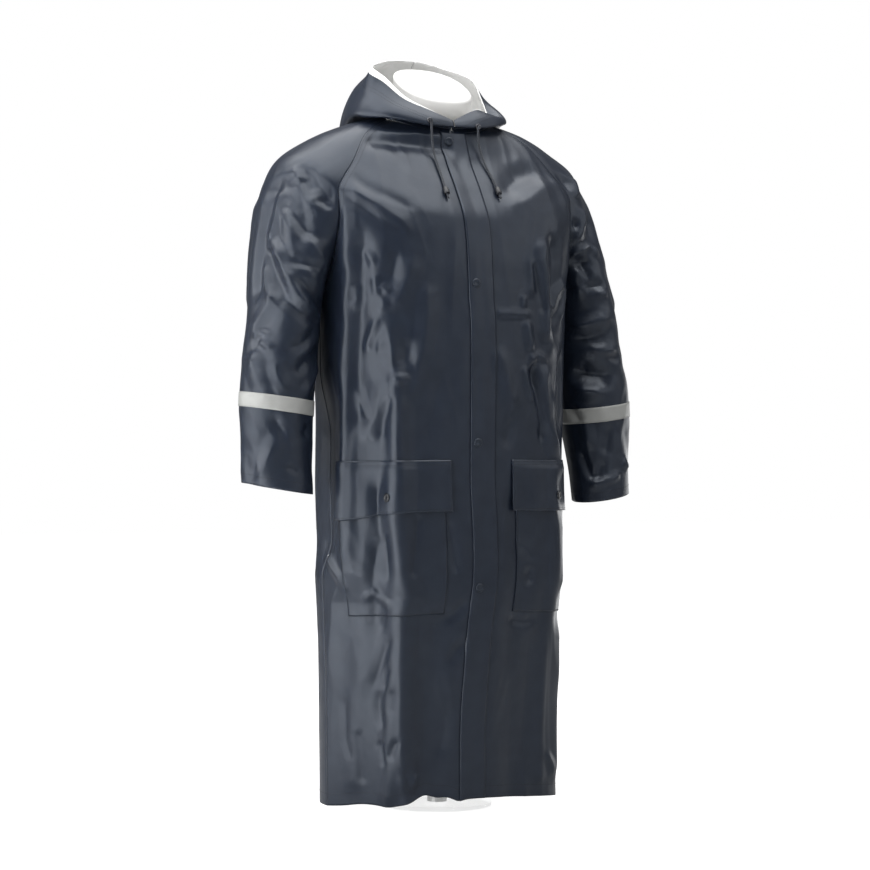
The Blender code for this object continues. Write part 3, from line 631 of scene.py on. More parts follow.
def back_surface():
    """The back, columns from the wearer's right to the left."""
    rows = []
    along = []
    for station in PANEL_STATIONS:
        curve = eased(BACK_CURVES, station - 1)
        steps = np.linspace(0, length_of(curve) - SEAM, BACK_COLUMNS)
        half = resampled(curve, steps)
        both = np.concatenate((mirrored(half[:0:-1], RIGHT), half))
        rows.append(hung_at(station, both))
        along.append(np.concatenate((-steps[:0:-1], steps)))
    return folded(surface_from(np.array(rows), np.array(along), RIGHT), BACK_FOLDS)


ARC_POINTS = 361            # of a sleeve's section
RING_SWEEP_POINTS = 121     # of the table from levels to rings
SLEEVE_PITCH = 46.0         # between two stations
SLEEVE_COLUMNS = 2 * int(230 / FINE)
LAST_YOKE_STATION = 7.93
SLEEVE_STATIONS = spaced(1, LAST_YOKE_STATION, FINE / SLEEVE_PITCH)
TUBE_FROM = len(SLEEVE_STATIONS)
CLOSING_ROWS = (10, 8)      # above and below the tube's first row
CLOSING_ROUNDS = 14


def armhole(station):
    """The ends of the sleeve's section, on the front and the back seam, and its wrap."""
    start = edge_at(FRONT_RIBS, station)
    end = edge_at(BACK_RIBS, station)
    if station <= CLOSING_STATIONS[0]:
        wrap = math.radians(eased_number(WRAPS, station - 1))
    else:
        depth = np.interp(station, CLOSING_STATIONS, CLOSING_DEPTHS)
        wrap = math.pi - math.asin(np.linalg.norm(end - start) / 2 / depth)
    return start, end, wrap


def yoke_section(station):
    """The sleeve's section between the raglan seams, from the front one over the crown."""
    start, end, wrap = armhole(station)
    top = eased(CROWNS, station - 1)
    out = (top - (start + end) / 2) / (1 - math.cos(wrap))
    across = (end - start) / (2 * math.sin(wrap))
    angles = np.linspace(-wrap, wrap, ARC_POINTS)
    curve = top - out + np.outer(np.cos(angles), out) + np.outer(np.sin(angles), across)
    points = resampled(curve, np.linspace(SEAM, length_of(curve) - SEAM, SLEEVE_COLUMNS + 1))
    clear_of_body = 2 * SEAM * max(0.0, -math.cos(wrap))
    points[(0, -1), 0] += clear_of_body
    return points


def ring_points(ring):
    """A closed section of the sleeve, from its inner point round by the front."""
    angles = np.linspace(-math.pi, math.pi, ARC_POINTS)
    toe = math.radians(ring.toe)
    long_axis = (math.cos(toe), math.sin(toe), 0)
    short_axis = (-math.sin(toe), math.cos(toe), 0)
    curve = (np.outer(ring.across * np.cos(angles), long_axis)
             + np.outer(ring.deep * np.sin(angles), short_axis))
    curve += (ring.centre_x, ring.centre_y, ring.z)
    curve[:, 2] += ring.rise * np.cos(angles)
    return resampled(curve, np.linspace(0, length_of(curve), SLEEVE_COLUMNS + 1))


RING_KEYS = np.linspace(0, len(RINGS) - 1, RING_SWEEP_POINTS)
RING_LEVELS = np.array([eased(RINGS, key)[0] for key in RING_KEYS])


def ring_at(level):
    return Ring(*eased(RINGS, float(np.interp(-level, -RING_LEVELS, RING_KEYS))))


TUBE_LEVELS = np.concatenate((
    spaced(RINGS[0].z, TAPE_ROWS[0], FINE)[:-1],
    spaced(TAPE_ROWS[0], TAPE_ROWS[1], FINE)[:-1],
    spaced(TAPE_ROWS[1], RINGS[-1].z, FINE)))


def closed(rows):
    """The sleeve's rows, averaged up and down where the yoke closes to a tube."""
    near = np.arange(TUBE_FROM - CLOSING_ROWS[0], TUBE_FROM + CLOSING_ROWS[1])
    inside = np.ones(rows.shape[1], bool)
    inside[[0, 1, -2, -1]] = False
    free = (near >= TUBE_FROM)[:, None, None] | inside[None, :, None]
    for _ in range(CLOSING_ROUNDS):
        average = (rows[near - 1] + 2 * rows[near] + rows[near + 1]) / 4
        rows[near] = np.where(free, average, rows[near])
    rows[TUBE_FROM:, -1] = rows[TUBE_FROM:, 0]
    return rows


def sleeve_surface(side):
    """Rows from the neckline to the cuff; columns run from the front seam to the back one."""
    rows = []
    wraps = []
    for station in SLEEVE_STATIONS:
        rows.append(yoke_section(station))
        wraps.append(math.degrees(armhole(station)[2]))
    for level in TUBE_LEVELS:
        points = ring_points(ring_at(level))
        if side == LEFT:
            fall = (TUBE_LEVELS[0] - level) / (TUBE_LEVELS[0] - TUBE_LEVELS[-1])
            points[:, 2] -= LEFT_SLEEVE_DROP * fall
        rows.append(points)
        wraps.append(180)
    along = np.outer(wraps, np.linspace(-1, 1, SLEEVE_COLUMNS + 1))
    rows = mirrored(closed(np.array(rows)), side)
    return folded(surface_from(rows, along, side, TUBE_FROM), SLEEVE_FOLDS)


HOOD_COLUMNS = int(320 / FINE)
HOOD_PROFILE = int(220 / FINE)
PROFILE_POINTS = 81         # of a hood rib's curve
HOOD_MIDDLE = (0, 30, 0)    # that its rim's lining leans towards
LIP_SPANS = ((0.10, 0.68), (0.70, 0.92))    # over which it widens and narrows
LIP_INWARD = 0.6            # of its width
LIP_CURL = 0.25


def half_neckline():
    """From the throat over the shoulder to the nape, on the wearer's left."""
    return np.concatenate((FRONT_CURVES[LEFT][0], yoke_section(1), BACK_CURVES[0][::-1]))


def past_nape(rib):
    """A hood rib on the other side of the centre seam, so that the hood crosses it level."""
    flipped = [(-x, y, z) for x, y, z in rib[1:]]
    return HoodRib(2 - rib.share, *flipped)


def hood_surface(side):
    """Half a hood, rows from the neckline to the rim, columns from the throat to the nape."""
    ribs = HOOD_RIBS[side]
    ribs = ribs + [past_nape(ribs[-2])]
    keys = [rib.share for rib in ribs]
    neckline = half_neckline()
    whole = length_of(neckline)
    columns = []
    for share in np.linspace(0, 1, HOOD_COLUMNS + 1):
        at = float(np.interp(share, keys, range(len(keys))))
        start = resampled(neckline, [whole * share])[0] + (0, 0, HOOD_STAND)
        stages = [start] + [eased([rib[stage] for rib in ribs], at, rounded=True)
                            for stage in range(1, len(HoodRib._fields))]
        steps = np.linspace(0, len(stages) - 1, PROFILE_POINTS)
        profile = np.array([eased(stages, step, rounded=True) for step in steps])
        columns.append(resampled(profile, np.linspace(0, length_of(profile), HOOD_PROFILE + 1)))
    points = np.array(columns).transpose(1, 0, 2)
    points[:, (0, -1), 0] += HOOD_SEAM / 2
    along = np.broadcast_to(np.linspace(0, whole, HOOD_COLUMNS + 1), points.shape[:2])
    return surface_from(mirrored(points, side), along, -side)


def lipped(hood_half, side):
    """A hood half with its lining turned up past the rim, widest near the hood's tip."""
    shares = np.linspace(0, 1, hood_half.points.shape[1])
    widens, narrows = LIP_SPANS
    width = LIP_WIDTH * smoothstep(*widens, shares) * (1 - smoothstep(*narrows, shares))
    if side == LEFT:
        width = width * LEFT_LIP
    rim = hood_half.points[-1]
    inward = HOOD_MIDDLE - rim
    inward[:, 2] = 0
    inward /= np.linalg.norm(inward, axis=1, keepdims=True)
    rows = [hood_half.points]
    for step in range(1, LIP_ROWS + 1):
        share = step / LIP_ROWS
        up = np.array((0, 0, LIP_HEIGHT)) * share * (1 + LIP_CURL - LIP_CURL * share)
        rows.append((rim + width[:, None] * (inward * LIP_INWARD * share + up))[None])
    along = np.concatenate((hood_half.along, hood_half.along[:LIP_ROWS]))
    return surface_from(np.concatenate(rows), along, hood_half.turn)


def placket_surface(right_front, left_front):
    """The strip over the closure, from its free edge on the wearer's right."""
    last = PLACKET_COLUMNS - 1

    def joined(right, left):
        middle = (right[:, :1] + left[:, :1]) / 2
        return np.concatenate((right[:, last:0:-1], middle, left[:, 1:last + 1]), 1)

    return Surface(joined(right_front.points, left_front.points),
                   joined(right_front.normals, left_front.normals),
                   joined(-right_front.along, left_front.along), 1, None)


# ---------------------------------------------------------------- creases
# The faint crumple of each kind of piece; a sleeve's cells are in degrees round it.
FRONT_CRUMPLES = rows_of(Crumple, (11, 46, 150, 2.8, 0.12), (23, 21, 58, 1.0, -0.25))
BACK_CRUMPLES = rows_of(Crumple, (31, 50, 140, 3.0, -0.14), (43, 22, 60, 0.9, 0.3))
SLEEVE_CRUMPLES = rows_of(Crumple, (57, 34, 80, 2.0, 0.3), (61, 17, 38, 0.8, -0.35))

# Ways round are millimetres from the fronts' closure or the back's middle, and degrees
# from the outside on a sleeve, where the front is below zero.
FRONT_CREASES = {RIGHT: creases_of(
    # the corner between the front and the side, from the chest to the hem
    (15, 5.5, 1, 181, 846, 169, 822, 162, 798, 159, 762, 155, 745, 160, 714, 151, 690, 152, 637,
     148, 572, 158, 506, 154, 470, 146, 410, 140, 388, 132, 374, 142, 347, 138, 300, 137, 260, 131,
     200, 129, 135, 122, 30),
    (14, 4.4, 0.4, 252, 1050, 247, 1016, 236, 973, 240, 950, 232, 919, 239, 887, 245, 860, 243,
     834, 249, 798, 255, 752, 249, 708, 253, 618, 252, 520, 250, 420),
    (17, -6, 0.2, 206, 1000, 214, 930, 218, 850, 224, 770, 224, 700, 220, 640),
    # the chest
    (10, -2.4, 0.1, 227, 1092, 209, 1076, 179, 1057, 146, 1042, 108, 1023),
    (10, 2.4, 0.2, 227, 1064, 200, 1044, 175, 1027, 135, 1001, 119, 987),
    (9, -2, 0.1, 240, 1053, 214, 1032, 185, 1012, 158, 994, 130, 978),
    (6, 2.4, 0.8, 150, 1166, 90, 1163, 16, 1160),
    (13, -5.2, 0, 215, 1158, 176, 1151, 100, 1146, 30, 1141, -20, 1138),
    (6, 3, 1, 210, 960, 197, 943, 187, 926),
    (5, 3, 1, 188, 918, 187, 900, 185, 876),
    (5, 2.6, 1, 180, 902, 162, 880),
    (6, 3.2, 1, 177, 884, 174, 864, 181, 846),
    (13, 4.4, 0.6, 120, 955, 131, 914, 144, 880, 157, 864, 172, 852),
    (11, -3.4, 0.4, 150, 960, 158, 920, 156, 892),
    (6, 3, 0.9, 221, 905, 221, 872, 231, 852),
    # the waist
    (10, 4, 0.7, 100, 905, 101, 856, 110, 786, 119, 766, 120, 744, 128, 720, 145, 706),
    (11, -4.6, 0.3, 140, 812, 139, 780, 140, 754),
    (6, 3.6, 1, 184, 846, 196, 822, 207, 798, 209, 782),
    (5, 2.2, 1, 187, 784, 178, 806),
    (5, 3.2, 1, 162, 737, 146, 738, 131, 745),
    (12, 3.4, 0.6, 181, 756, 184, 720, 190, 678, 217, 628),
    (6, -2.6, 0.8, 157, 716, 169, 690, 178, 672, 181, 637),
    (15, -3.2, 0.2, 68, 770, 86, 714, 98, 672, 101, 622),
    (7, 2.8, 0.9, 230, 730, 220, 702, 205, 670),
    # over and round the pocket
    (9, -4.4, 0.5, 176, 486, 173, 434, 169, 396),
    (9, -3.8, 0.5, 190, 476, 200, 428, 204, 384),
    (9, -2.8, 0.4, 186, 574, 190, 540, 184, 512),
    (6, -2.6, 0.8, 119, 516, 125, 477, 131, 435, 134, 404),
    (6, -3, 0.9, 66, 505, 63, 472, 57, 437, 51, 410),
    (7, -3, 0.8, 26, 370, 49, 345, 72, 330),
    (7, -3, 0.8, 18, 303, 42, 281, 50, 254),
    (5, 2.8, 1, 219, 366, 200, 381, 192, 375, 172, 363, 155, 357),
    (6, 3.2, 1, 325, 456, 295, 426, 264, 402, 250, 376),
    # the skirt
    (9, -3.8, 0.6, 154, 313, 171, 275, 182, 235, 192, 216),
    (6, -2.8, 0.8, 150, 260, 161, 244, 167, 212),
    (7, -3.2, 0.6, 173, 218, 174, 185, 164, 148),
    (6, -3.2, 0.6, 147, 222, 147, 172),
    (5, -2.8, 1, 169, 134, 164, 108, 158, 83),
    (5, -3.4, 1, 130, 138, 142, 116, 148, 95),
    (8, -3.6, 0.8, 310, 300, 300, 220, 290, 150, 286, 110, 292, 40),
    (7, -2.2, 0.6, 246, 202, 238, 127, 223, 90),
    (7, -2.2, 0.6, 213, 150, 206, 81, 203, 50),
    (6, -3.2, 0.8, 124, 90, 112, 48, 92, 36),
    (5, 2.8, 1, 98, 76, 111, 52),
    (17, -3.4, 0.2, 105, 310, 88, 215, 84, 168, 88, 60),
    (12, -2.6, 0.2, 49, 205, 51, 147, 62, 95),
    (22, -2.2, 0.2, 60, 930, 66, 820, 58, 720, 62, 640),
), LEFT: creases_of(
    (9, -2.6, 0.5, 86, 1096, 124, 1106, 156, 1117),
    (11, -3, 0.4, 64, 1067, 117, 1094, 179, 1112),
    (12, 2.8, 0.5, 60, 1036, 107, 1046, 167, 1076, 230, 1090),
    (11, 5, 0.8, 138, 992, 126, 948, 132, 904, 135, 861, 132, 827, 137, 800),
    (5, -3, 0.9, 108, 945, 116, 903, 124, 878, 127, 852),
    (13, -4.6, 0.5, 160, 1000, 166, 950, 158, 880, 156, 820),
    (9, 2.6, 0.4, 102, 960, 102, 912, 100, 875),
    (7, 3.6, 1, 206, 916, 172, 890, 163, 870, 140, 846),
    (6, 3, 1, 216, 912, 203, 881, 184, 844),
    (5, 2.4, 1, 23, 852, 50, 853, 100, 853),
    (5, 2.6, 1, 85, 888, 82, 858),
    (7, 4.2, 0.9, 88, 846, 91, 815, 99, 784),
    (5, 2.8, 1, 100, 788, 93, 760),
    (5, 2.8, 1, 101, 784, 109, 760),
    (5, 3, 1, 103, 787, 120, 780, 139, 773),
    (6, -3.8, 0.9, 102, 776, 108, 732, 119, 690, 128, 632),
    (5, -2.2, 0.9, 96, 764, 109, 724),
    (5, 2.8, 1, 79, 765, 90, 726, 104, 704),
    (13, 5.6, 0.8, 137, 780, 128, 738, 131, 708, 134, 672, 146, 649, 168, 612, 170, 560),
    (12, 2.8, 0.3, 26, 800, 41, 756, 52, 714, 66, 684),
    (9, -2.2, 0.4, 58, 680, 49, 643, 46, 618),
    (13, -4, 0.4, 200, 800, 190, 720, 196, 640),
    (8, -3.2, 0.6, 104, 424, 95, 407, 103, 386),
    (15, 4, 0.7, 172, 520, 166, 440, 176, 360),
    (12, -2, 0.4, 60, 470, 92, 450, 110, 420),
    (6, -2, 0.7, 120, 330, 96, 326, 60, 334),
    (18, 5, 0.8, 182, 340, 196, 291, 200, 210, 198, 130, 194, 30),
    (7, 2.6, 1, 160, 100, 176, 78, 188, 50),
    (20, -3, 0.2, 110, 320, 118, 220, 112, 110, 118, 40),
)}
SLEEVE_CREASES = {RIGHT: creases_of(
    (14, -6, 0.4, -12, 1096, -17, 1045, -14, 1002, -14, 967, -11, 924, -8, 860),
    (7, 3.4, 0.9, -22, 1068, -27, 1019, -25, 970),
    (14, 3.6, 0.5, 3, 1070, -1, 1010, 2, 940, 5, 880),
    (8, -4.4, 0.8, -25, 972, -35, 938, -46, 906, -63, 874, -90, 851, -138, 832),
    (8, 4.6, 1, -23, 980, -42, 957, -56, 931, -69, 908, -86, 878, -104, 854),
    (5, 2.6, 1, -18, 934, -27, 898, -43, 868),
    (9, -3.2, 0.4, -28, 1040, -40, 984, -52, 954),
    (8, 3, 0.7, -38, 1038, -57, 999, -65, 960),
    (6, -3.6, 1, -31, 1045, -51, 1020, -70, 998, -87, 978),
    (8, 4.4, 1, -23, 1106, -40, 1086, -53, 1059, -65, 1036, -79, 1012),
    (6, -3, 0.8, -36, 1080, -58, 1040, -75, 1004),
    (5, -2.8, 0.9, -43, 1082, -58, 1062, -70, 1042),
    (5, -2.6, 0.9, -33, 1106, -51, 1082, -67, 1053),
    (6, -3.2, 0.9, -42, 1100, -63, 1074, -93, 1033),
    (5, -2.8, 1, -71, 1047, -84, 1035, -96, 1024),
    (6, -3.4, 0.8, -66, 944, -81, 936, -99, 930, -117, 926),
    (8, 3.6, 0.9, -78, 985, -89, 967, -108, 945, -128, 926),
    (9, -4.6, 0.6, -74, 919, -92, 894, -115, 874, -148, 860),
    (9, 4, 0.8, -38, 890, -40, 866, -30, 847, -20, 829, -24, 800),
    (5, 2.6, 1, -32, 806, -45, 799, -62, 787),
    (5, 2.4, 1, -29, 820, -55, 808),
    (11, 4.6, 0.7, -18, 792, -42, 751, -58, 714),
    (9, -4, 0.6, -134, 828, -104, 800, -76, 786),
    (9, -4, 0.6, -158, 796, -116, 769, -100, 742),
    (7, 3.6, 0.9, -66, 776, -75, 748, -87, 726, -100, 719),
    (8, 3.4, 0.8, -160, 770, -137, 735, -120, 706),
    (8, -4, 0.8, -74, 684, -87, 662, -107, 637),
    (7, -3, 0.8, -152, 665, -134, 643),
    (11, 4.6, 0.8, -88, 644, -76, 608, -66, 580, -61, 560),
    (5, -2.6, 0.9, -108, 596, -134, 584),
    (14, -2.4, 0.3, -40, 640, -30, 610, -34, 570),
    # where it isn't seen
    (12, 4.6, 0.8, 30, 1060, 44, 1000, 52, 920, 60, 850),
    (9, -4.6, 0.7, 70, 1040, 84, 980, 96, 930, 120, 890),
    (10, -4, 0.7, 60, 900, 76, 850, 84, 790),
    (11, 4.4, 0.8, 110, 880, 104, 820, 96, 760),
    (7, 3.2, 1, 40, 820, 70, 796, 110, 800),
    (9, -4, 0.7, 150, 850, 110, 830, 70, 838),
    (11, -3.4, 0.7, 100, 690, 80, 640, 70, 570),
    (9, 3.2, 0.8, 40, 650, 56, 610, 50, 570),
), LEFT: creases_of(
    (6, -3.4, 0.8, -64, 1108, -72, 1094, -88, 1074),
    (7, 3, 0.8, -50, 1110, -64, 1086, -80, 1060),
    (8, -4.4, 0.5, -106, 1020, -94, 1013),
    (6, 4, 1, -72, 1052, -84, 1022, -102, 996, -118, 980),
    (9, -3.2, 0.5, -60, 1040, -70, 1010, -86, 990),
    (6, 4.4, 1, -126, 957, -108, 972, -90, 979, -82, 974, -86, 956),
    (9, -3.8, 0.6, -126, 940, -108, 952, -94, 960),
    (5, -2.8, 0.9, -107, 966, -111, 942, -105, 918),
    (7, 3.4, 0.9, -116, 948, -124, 921, -123, 886),
    (8, -3.8, 0.6, -120, 905, -95, 910, -80, 920),
    (6, 2.8, 0.9, -102, 896, -76, 900),
    (10, 5.2, 0.9, -152, 836, -136, 837, -114, 843, -90, 854, -72, 855),
    (9, -3.4, 0.6, -150, 815, -116, 818, -84, 830),
    (7, 3.6, 0.9, -125, 793, -108, 795, -93, 796, -78, 803),
    (5, -2.6, 0.9, -99, 788, -86, 784, -74, 779),
    (13, -8, 0.6, -160, 768, -144, 756, -114, 752, -88, 754),
    (9, 4.2, 0.8, -162, 727, -135, 723, -106, 719),
    (14, -3, 0.4, -50, 840, -40, 790, -46, 740),
    (7, -3.4, 0.9, -178, 699, -166, 683, -154, 664),
    (8, 3.6, 0.8, -150, 676, -151, 645, -155, 615),
    (8, -3.2, 0.6, -106, 670, -117, 638, -127, 606),
    (6, -3, 0.9, -168, 620, -162, 585, -152, 560),
    (6, 3.2, 1, -162, 570, -150, 559, -117, 569, -97, 578),
    (6, -3, 0.9, -128, 602, -141, 582, -148, 562),
    (7, 3, 0.8, -92, 602, -68, 585),
    # where it isn't seen
    (12, 4.6, 0.8, 30, 1050, 42, 990, 50, 910, 62, 850),
    (9, -4.6, 0.7, 70, 1030, 86, 970, 100, 920, 124, 880),
    (10, -4, 0.7, 66, 890, 78, 840, 86, 780),
    (11, 4.4, 0.8, 100, 870, 108, 800, 98, 750),
    (7, 3.2, 1, 44, 810, 80, 790, 120, 800),
    (9, -4, 0.7, 150, 840, 108, 826, 66, 836),
    (11, -3.4, 0.7, 110, 680, 84, 630, 74, 560),
    (11, 3.6, 0.7, -20, 1000, -10, 930, -18, 860),
)}
BACK_CREASES = creases_of(
    (12, -4.6, 0.7, -190, 1060, -150, 1000, -120, 930),
    (12, -4.6, 0.7, 186, 1050, 150, 990, 128, 900),
    (13, 5, 0.8, -205, 1010, -170, 940, -150, 850, -155, 760),
    (13, 5, 0.8, 200, 1000, 172, 930, 156, 840, 150, 740),
    (10, 3.4, 0.9, -90, 900, -70, 840, -40, 800),
    (10, 3.4, 0.9, 60, 880, 48, 830, 20, 790),
    (9, -3.4, 0.6, -110, 820, -90, 770, -96, 700),
    (9, -3.4, 0.6, 96, 830, 80, 760, 90, 690),
    (12, -3, 0.6, -20, 1100, 10, 1060, 60, 1040),
    (9, 2.6, 0.8, -60, 1020, -20, 990, 40, 1000),
    (22, 6, 0.9, -120, 690, -116, 560, -126, 400, -122, 240),
    (22, 6, 0.9, 116, 700, 124, 540, 118, 380, 126, 220),
    (18, -4, 0.3, -30, 500, -24, 340, -40, 120),
    (18, -4, 0.3, 40, 420, 50, 260, 44, 80),
    (15, -5, 0.5, -200, 520, -190, 300, -196, 90),
    (15, -5, 0.5, 200, 470, 190, 280, 198, 90),
    (7, 3, 0.9, -66, 420, -84, 370, -80, 310),
    (7, 3, 0.9, 70, 330, 84, 280, 76, 220),
    (7, -3, 0.8, -150, 180, -140, 130, -150, 80),
    (7, -3, 0.8, 150, 220, 138, 160, 146, 90),
)

# ---------------------------------------------------------------- materials
NOISE_MIDDLE = (0.3, 0.7)   # of a noise's values; what is outside counts as its ends
PATCH = 40.0                # features a metre
COLOUR_DETAIL = 3
GLOSS_DETAIL = 2
MIX_SHARE, MIX_DARK, MIX_LIGHT = 0, 6, 7    # the colour mix's sockets
MIXED = 2
GLOSS_SHARE = 0.6           # of the colour's features a metre, in the gloss
CLEAR_IOR = 1.02
CLEAR_ALPHA = 0.25
NAVY_TINT = (0.84, 0.91, 1.0)


def node(tree, kind, values=None, sources=None):
    """A new node's outputs; its inputs take values, or wires from other nodes' outputs."""
    made = tree.nodes.new(kind)
    for name, value in (values or {}).items():
        made.inputs[name].default_value = value
    for name, source in (sources or {}).items():
        tree.links.new(source, made.inputs[name])
    return made.outputs


def new_material(name):
    made = bpy.data.materials.new(name)
    made.use_nodes = True
    return made, made.node_tree, made.node_tree.nodes["Principled BSDF"]


def noise(tree, place, scale, detail):
    """A noise texture over object coordinates, in features a metre."""
    return node(tree, "ShaderNodeTexNoise", {"Scale": scale, "Detail": detail},
                {"Vector": place})["Fac"]


def ranged(tree, value, low, high):
    return node(tree, "ShaderNodeMapRange",
                {"From Min": NOISE_MIDDLE[0], "From Max": NOISE_MIDDLE[1],
                 "To Min": low, "To Max": high}, {"Value": value})["Result"]


def painted(name, dark, light, roughness, bumps, patch=PATCH, metallic=0.0, sheen=0.0,
            clear=0.0, tint=(1.0, 1.0, 1.0)):
    """A material whose colour and gloss wander a little, with bumps laid one on another.

    Each bump is (features a metre, detail, distance in millimetres, strength).
    """
    made, tree, shader = new_material(name)
    place = node(tree, "ShaderNodeTexCoord")["Object"]
    cloud = noise(tree, place, patch, COLOUR_DETAIL)
    mix = tree.nodes.new("ShaderNodeMix")
    mix.data_type = "RGBA"
    mix.inputs[MIX_DARK].default_value = (*dark, 1)
    mix.inputs[MIX_LIGHT].default_value = (*light, 1)
    tree.links.new(ranged(tree, cloud, 0, 1), mix.inputs[MIX_SHARE])
    tree.links.new(mix.outputs[MIXED], shader.inputs["Base Color"])
    gloss = noise(tree, place, patch * GLOSS_SHARE, GLOSS_DETAIL)
    tree.links.new(ranged(tree, gloss, *roughness), shader.inputs["Roughness"])
    under = {}
    for scale, detail, distance, strength in bumps:
        height = noise(tree, place, scale, detail)
        normal = node(tree, "ShaderNodeBump", {"Distance": distance * MM, "Strength": strength},
                      {"Height": height, **under})["Normal"]
        under = {"Normal": normal}
    tree.links.new(normal, shader.inputs["Normal"])
    shader.inputs["Metallic"].default_value = metallic
    shader.inputs["Sheen Weight"].default_value = sheen
    if clear:
        shader.inputs["Transmission Weight"].default_value = clear
        shader.inputs["IOR"].default_value = CLEAR_IOR
        shader.inputs["Alpha"].default_value = CLEAR_ALPHA
    shader.inputs["Specular Tint"].default_value = (*tint, 1)
    return made


NAVY = painted("coated_navy", (0.0085, 0.0125, 0.023), (0.012, 0.017, 0.029), (0.31, 0.39),
               [(11, 2, 2.4, 0.2), (90, 4, 0.6, 0.25), (900, 2, 0.05, 0.25)], tint=NAVY_TINT)
LINING = painted("coated_inside", (0.90, 0.90, 0.89), (0.94, 0.94, 0.93), (0.5, 0.6),
                 [(40, 3, 1.6, 0.3), (900, 2, 0.05, 0.3)])
TAPE = painted("reflective_tape", (0.29, 0.295, 0.285), (0.33, 0.335, 0.325), (0.36, 0.44),
               [(110, 3, 0.4, 0.3), (1400, 2, 0.06, 0.4)])
THREAD = painted("navy_thread", (0.006, 0.008, 0.012), (0.010, 0.012, 0.017), (0.7, 0.85),
                 [(1800, 2, 0.1, 0.5)])
CAP = painted("navy_cap", (0.010, 0.014, 0.023), (0.013, 0.018, 0.028), (0.26, 0.34),
              [(500, 2, 0.04, 0.3)], tint=NAVY_TINT)
PLASTIC = painted("dark_plastic", (0.008, 0.009, 0.012), (0.012, 0.013, 0.017), (0.3, 0.4),
                  [(500, 2, 0.04, 0.3)])
BRAID = painted("navy_cord", (0.012, 0.015, 0.022), (0.026, 0.032, 0.044), (0.7, 0.85),
                [(700, 2, 0.4, 0.8)], patch=500.0, sheen=0.2)
METAL = painted("dark_metal", (0.10, 0.10, 0.11), (0.14, 0.14, 0.15), (0.25, 0.35),
                [(800, 2, 0.02, 0.2)], metallic=1.0)
WHITE = painted("form_white", (0.66, 0.655, 0.64), (0.69, 0.685, 0.67), (0.45, 0.55),
                [(600, 2, 0.04, 0.2)])
CLEAR = painted("form_clear", (0.94, 0.96, 0.96), (0.97, 0.98, 0.98), (0.02, 0.05),
                [(30, 2, 0.02, 0.1)], clear=1.0)
STEEL = painted("form_steel", (0.86, 0.86, 0.86), (0.92, 0.92, 0.92), (0.38, 0.48),
                [(900, 2, 0.02, 0.2)], metallic=1.0)


# ---------------------------------------------------------------- making pieces
SHARP_ANGLE = 60            # degrees; a shell's edges are smooth below it
TURNED_SHARP_ANGLE = 40
TURNED_STEPS = 40


def add_object(name, data, finish, stands_for=None, spot=None):
    """A piece of the coat; spot is the point and normal that it stands on, by its own Z."""
    data.materials.append(finish)
    made = linked(name, data)
    if spot:
        point, normal = spot
        made.location = Vector(point) * MM
        made.rotation_mode = "QUATERNION"
        made.rotation_quaternion = Vector(normal).to_track_quat("Z", "Y")
    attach(made, "root")
    if stands_for:
        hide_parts(stands_for)
    return made


def mesh_from(name, vertices, faces, sharp_angle):
    mesh = bpy.data.meshes.new(name)
    mesh.from_pydata(np.asarray(vertices).tolist(), [], faces)
    mesh.shade_smooth()
    mesh.set_sharp_from_angle(angle=math.radians(sharp_angle))
    return mesh


def shell(name, surface, finish=NAVY, wall=WALL, outward=False,
          inside=LINING, lip_rows=0):
    """A surface as one wall of cloth, with its own finish on the inner face.

    The last lip_rows rows are turned-out lining.
    """
    rows, columns = surface.points.shape[:2]
    index = np.arange(rows * columns).reshape(rows, columns)
    if surface.tube_from is not None:
        index[surface.tube_from:, -1] = index[surface.tube_from:, 0]
    corners = np.stack((index[:-1, :-1], index[1:, :-1], index[1:, 1:], index[:-1, 1:]), -1)
    if surface.turn < 0:
        corners = corners[..., ::-1]
    used, faces = np.unique(corners.reshape(-1, 4), return_inverse=True)
    vertices = surface.points.reshape(-1, 3)[used] * MM
    mesh = mesh_from("seen_" + name, vertices, faces.reshape(-1, 4).tolist(), SHARP_ANGLE)
    made = add_object("seen_" + name, mesh, finish, name)
    mesh.materials.append(inside)
    first_lip_face = (rows - 1 - lip_rows) * (columns - 1)
    for face in mesh.polygons[first_lip_face:]:
        face.material_index = 1
    thicken = made.modifiers.new("wall", "SOLIDIFY")
    thicken.thickness = wall * MM
    thicken.offset = 1 if outward else -1
    thicken.use_even_offset = False
    thicken.material_offset = 1


def turned(name, profile, finish, spot=None, steps=TURNED_STEPS):
    """A solid of revolution about its own Z; the profile runs down its outer side."""
    vertices = []
    rings = []
    for radius, height in profile:
        first = len(vertices)
        if radius == 0:
            rings.append([first] * steps)
            vertices.append((0, 0, height * MM))
            continue
        rings.append(list(range(first, first + steps)))
        for step in range(steps):
            angle = 2 * math.pi * step / steps
            vertices.append((radius * math.cos(angle) * MM, radius * math.sin(angle) * MM,
                             height * MM))
    pairs = list(zip(rings, rings[1:]))
    if profile[0][0] > 0:
        pairs.append((rings[-1], rings[0]))
    faces = []
    for upper, lower in pairs:
        for step in range(steps):
            after = (step + 1) % steps
            corners = [upper[step], lower[step], lower[after], upper[after]]
            faces.append(list(dict.fromkeys(corners)))
    mesh = mesh_from("seen_" + name, vertices, faces, TURNED_SHARP_ANGLE)
    return add_object("seen_" + name, mesh, finish, name, spot)


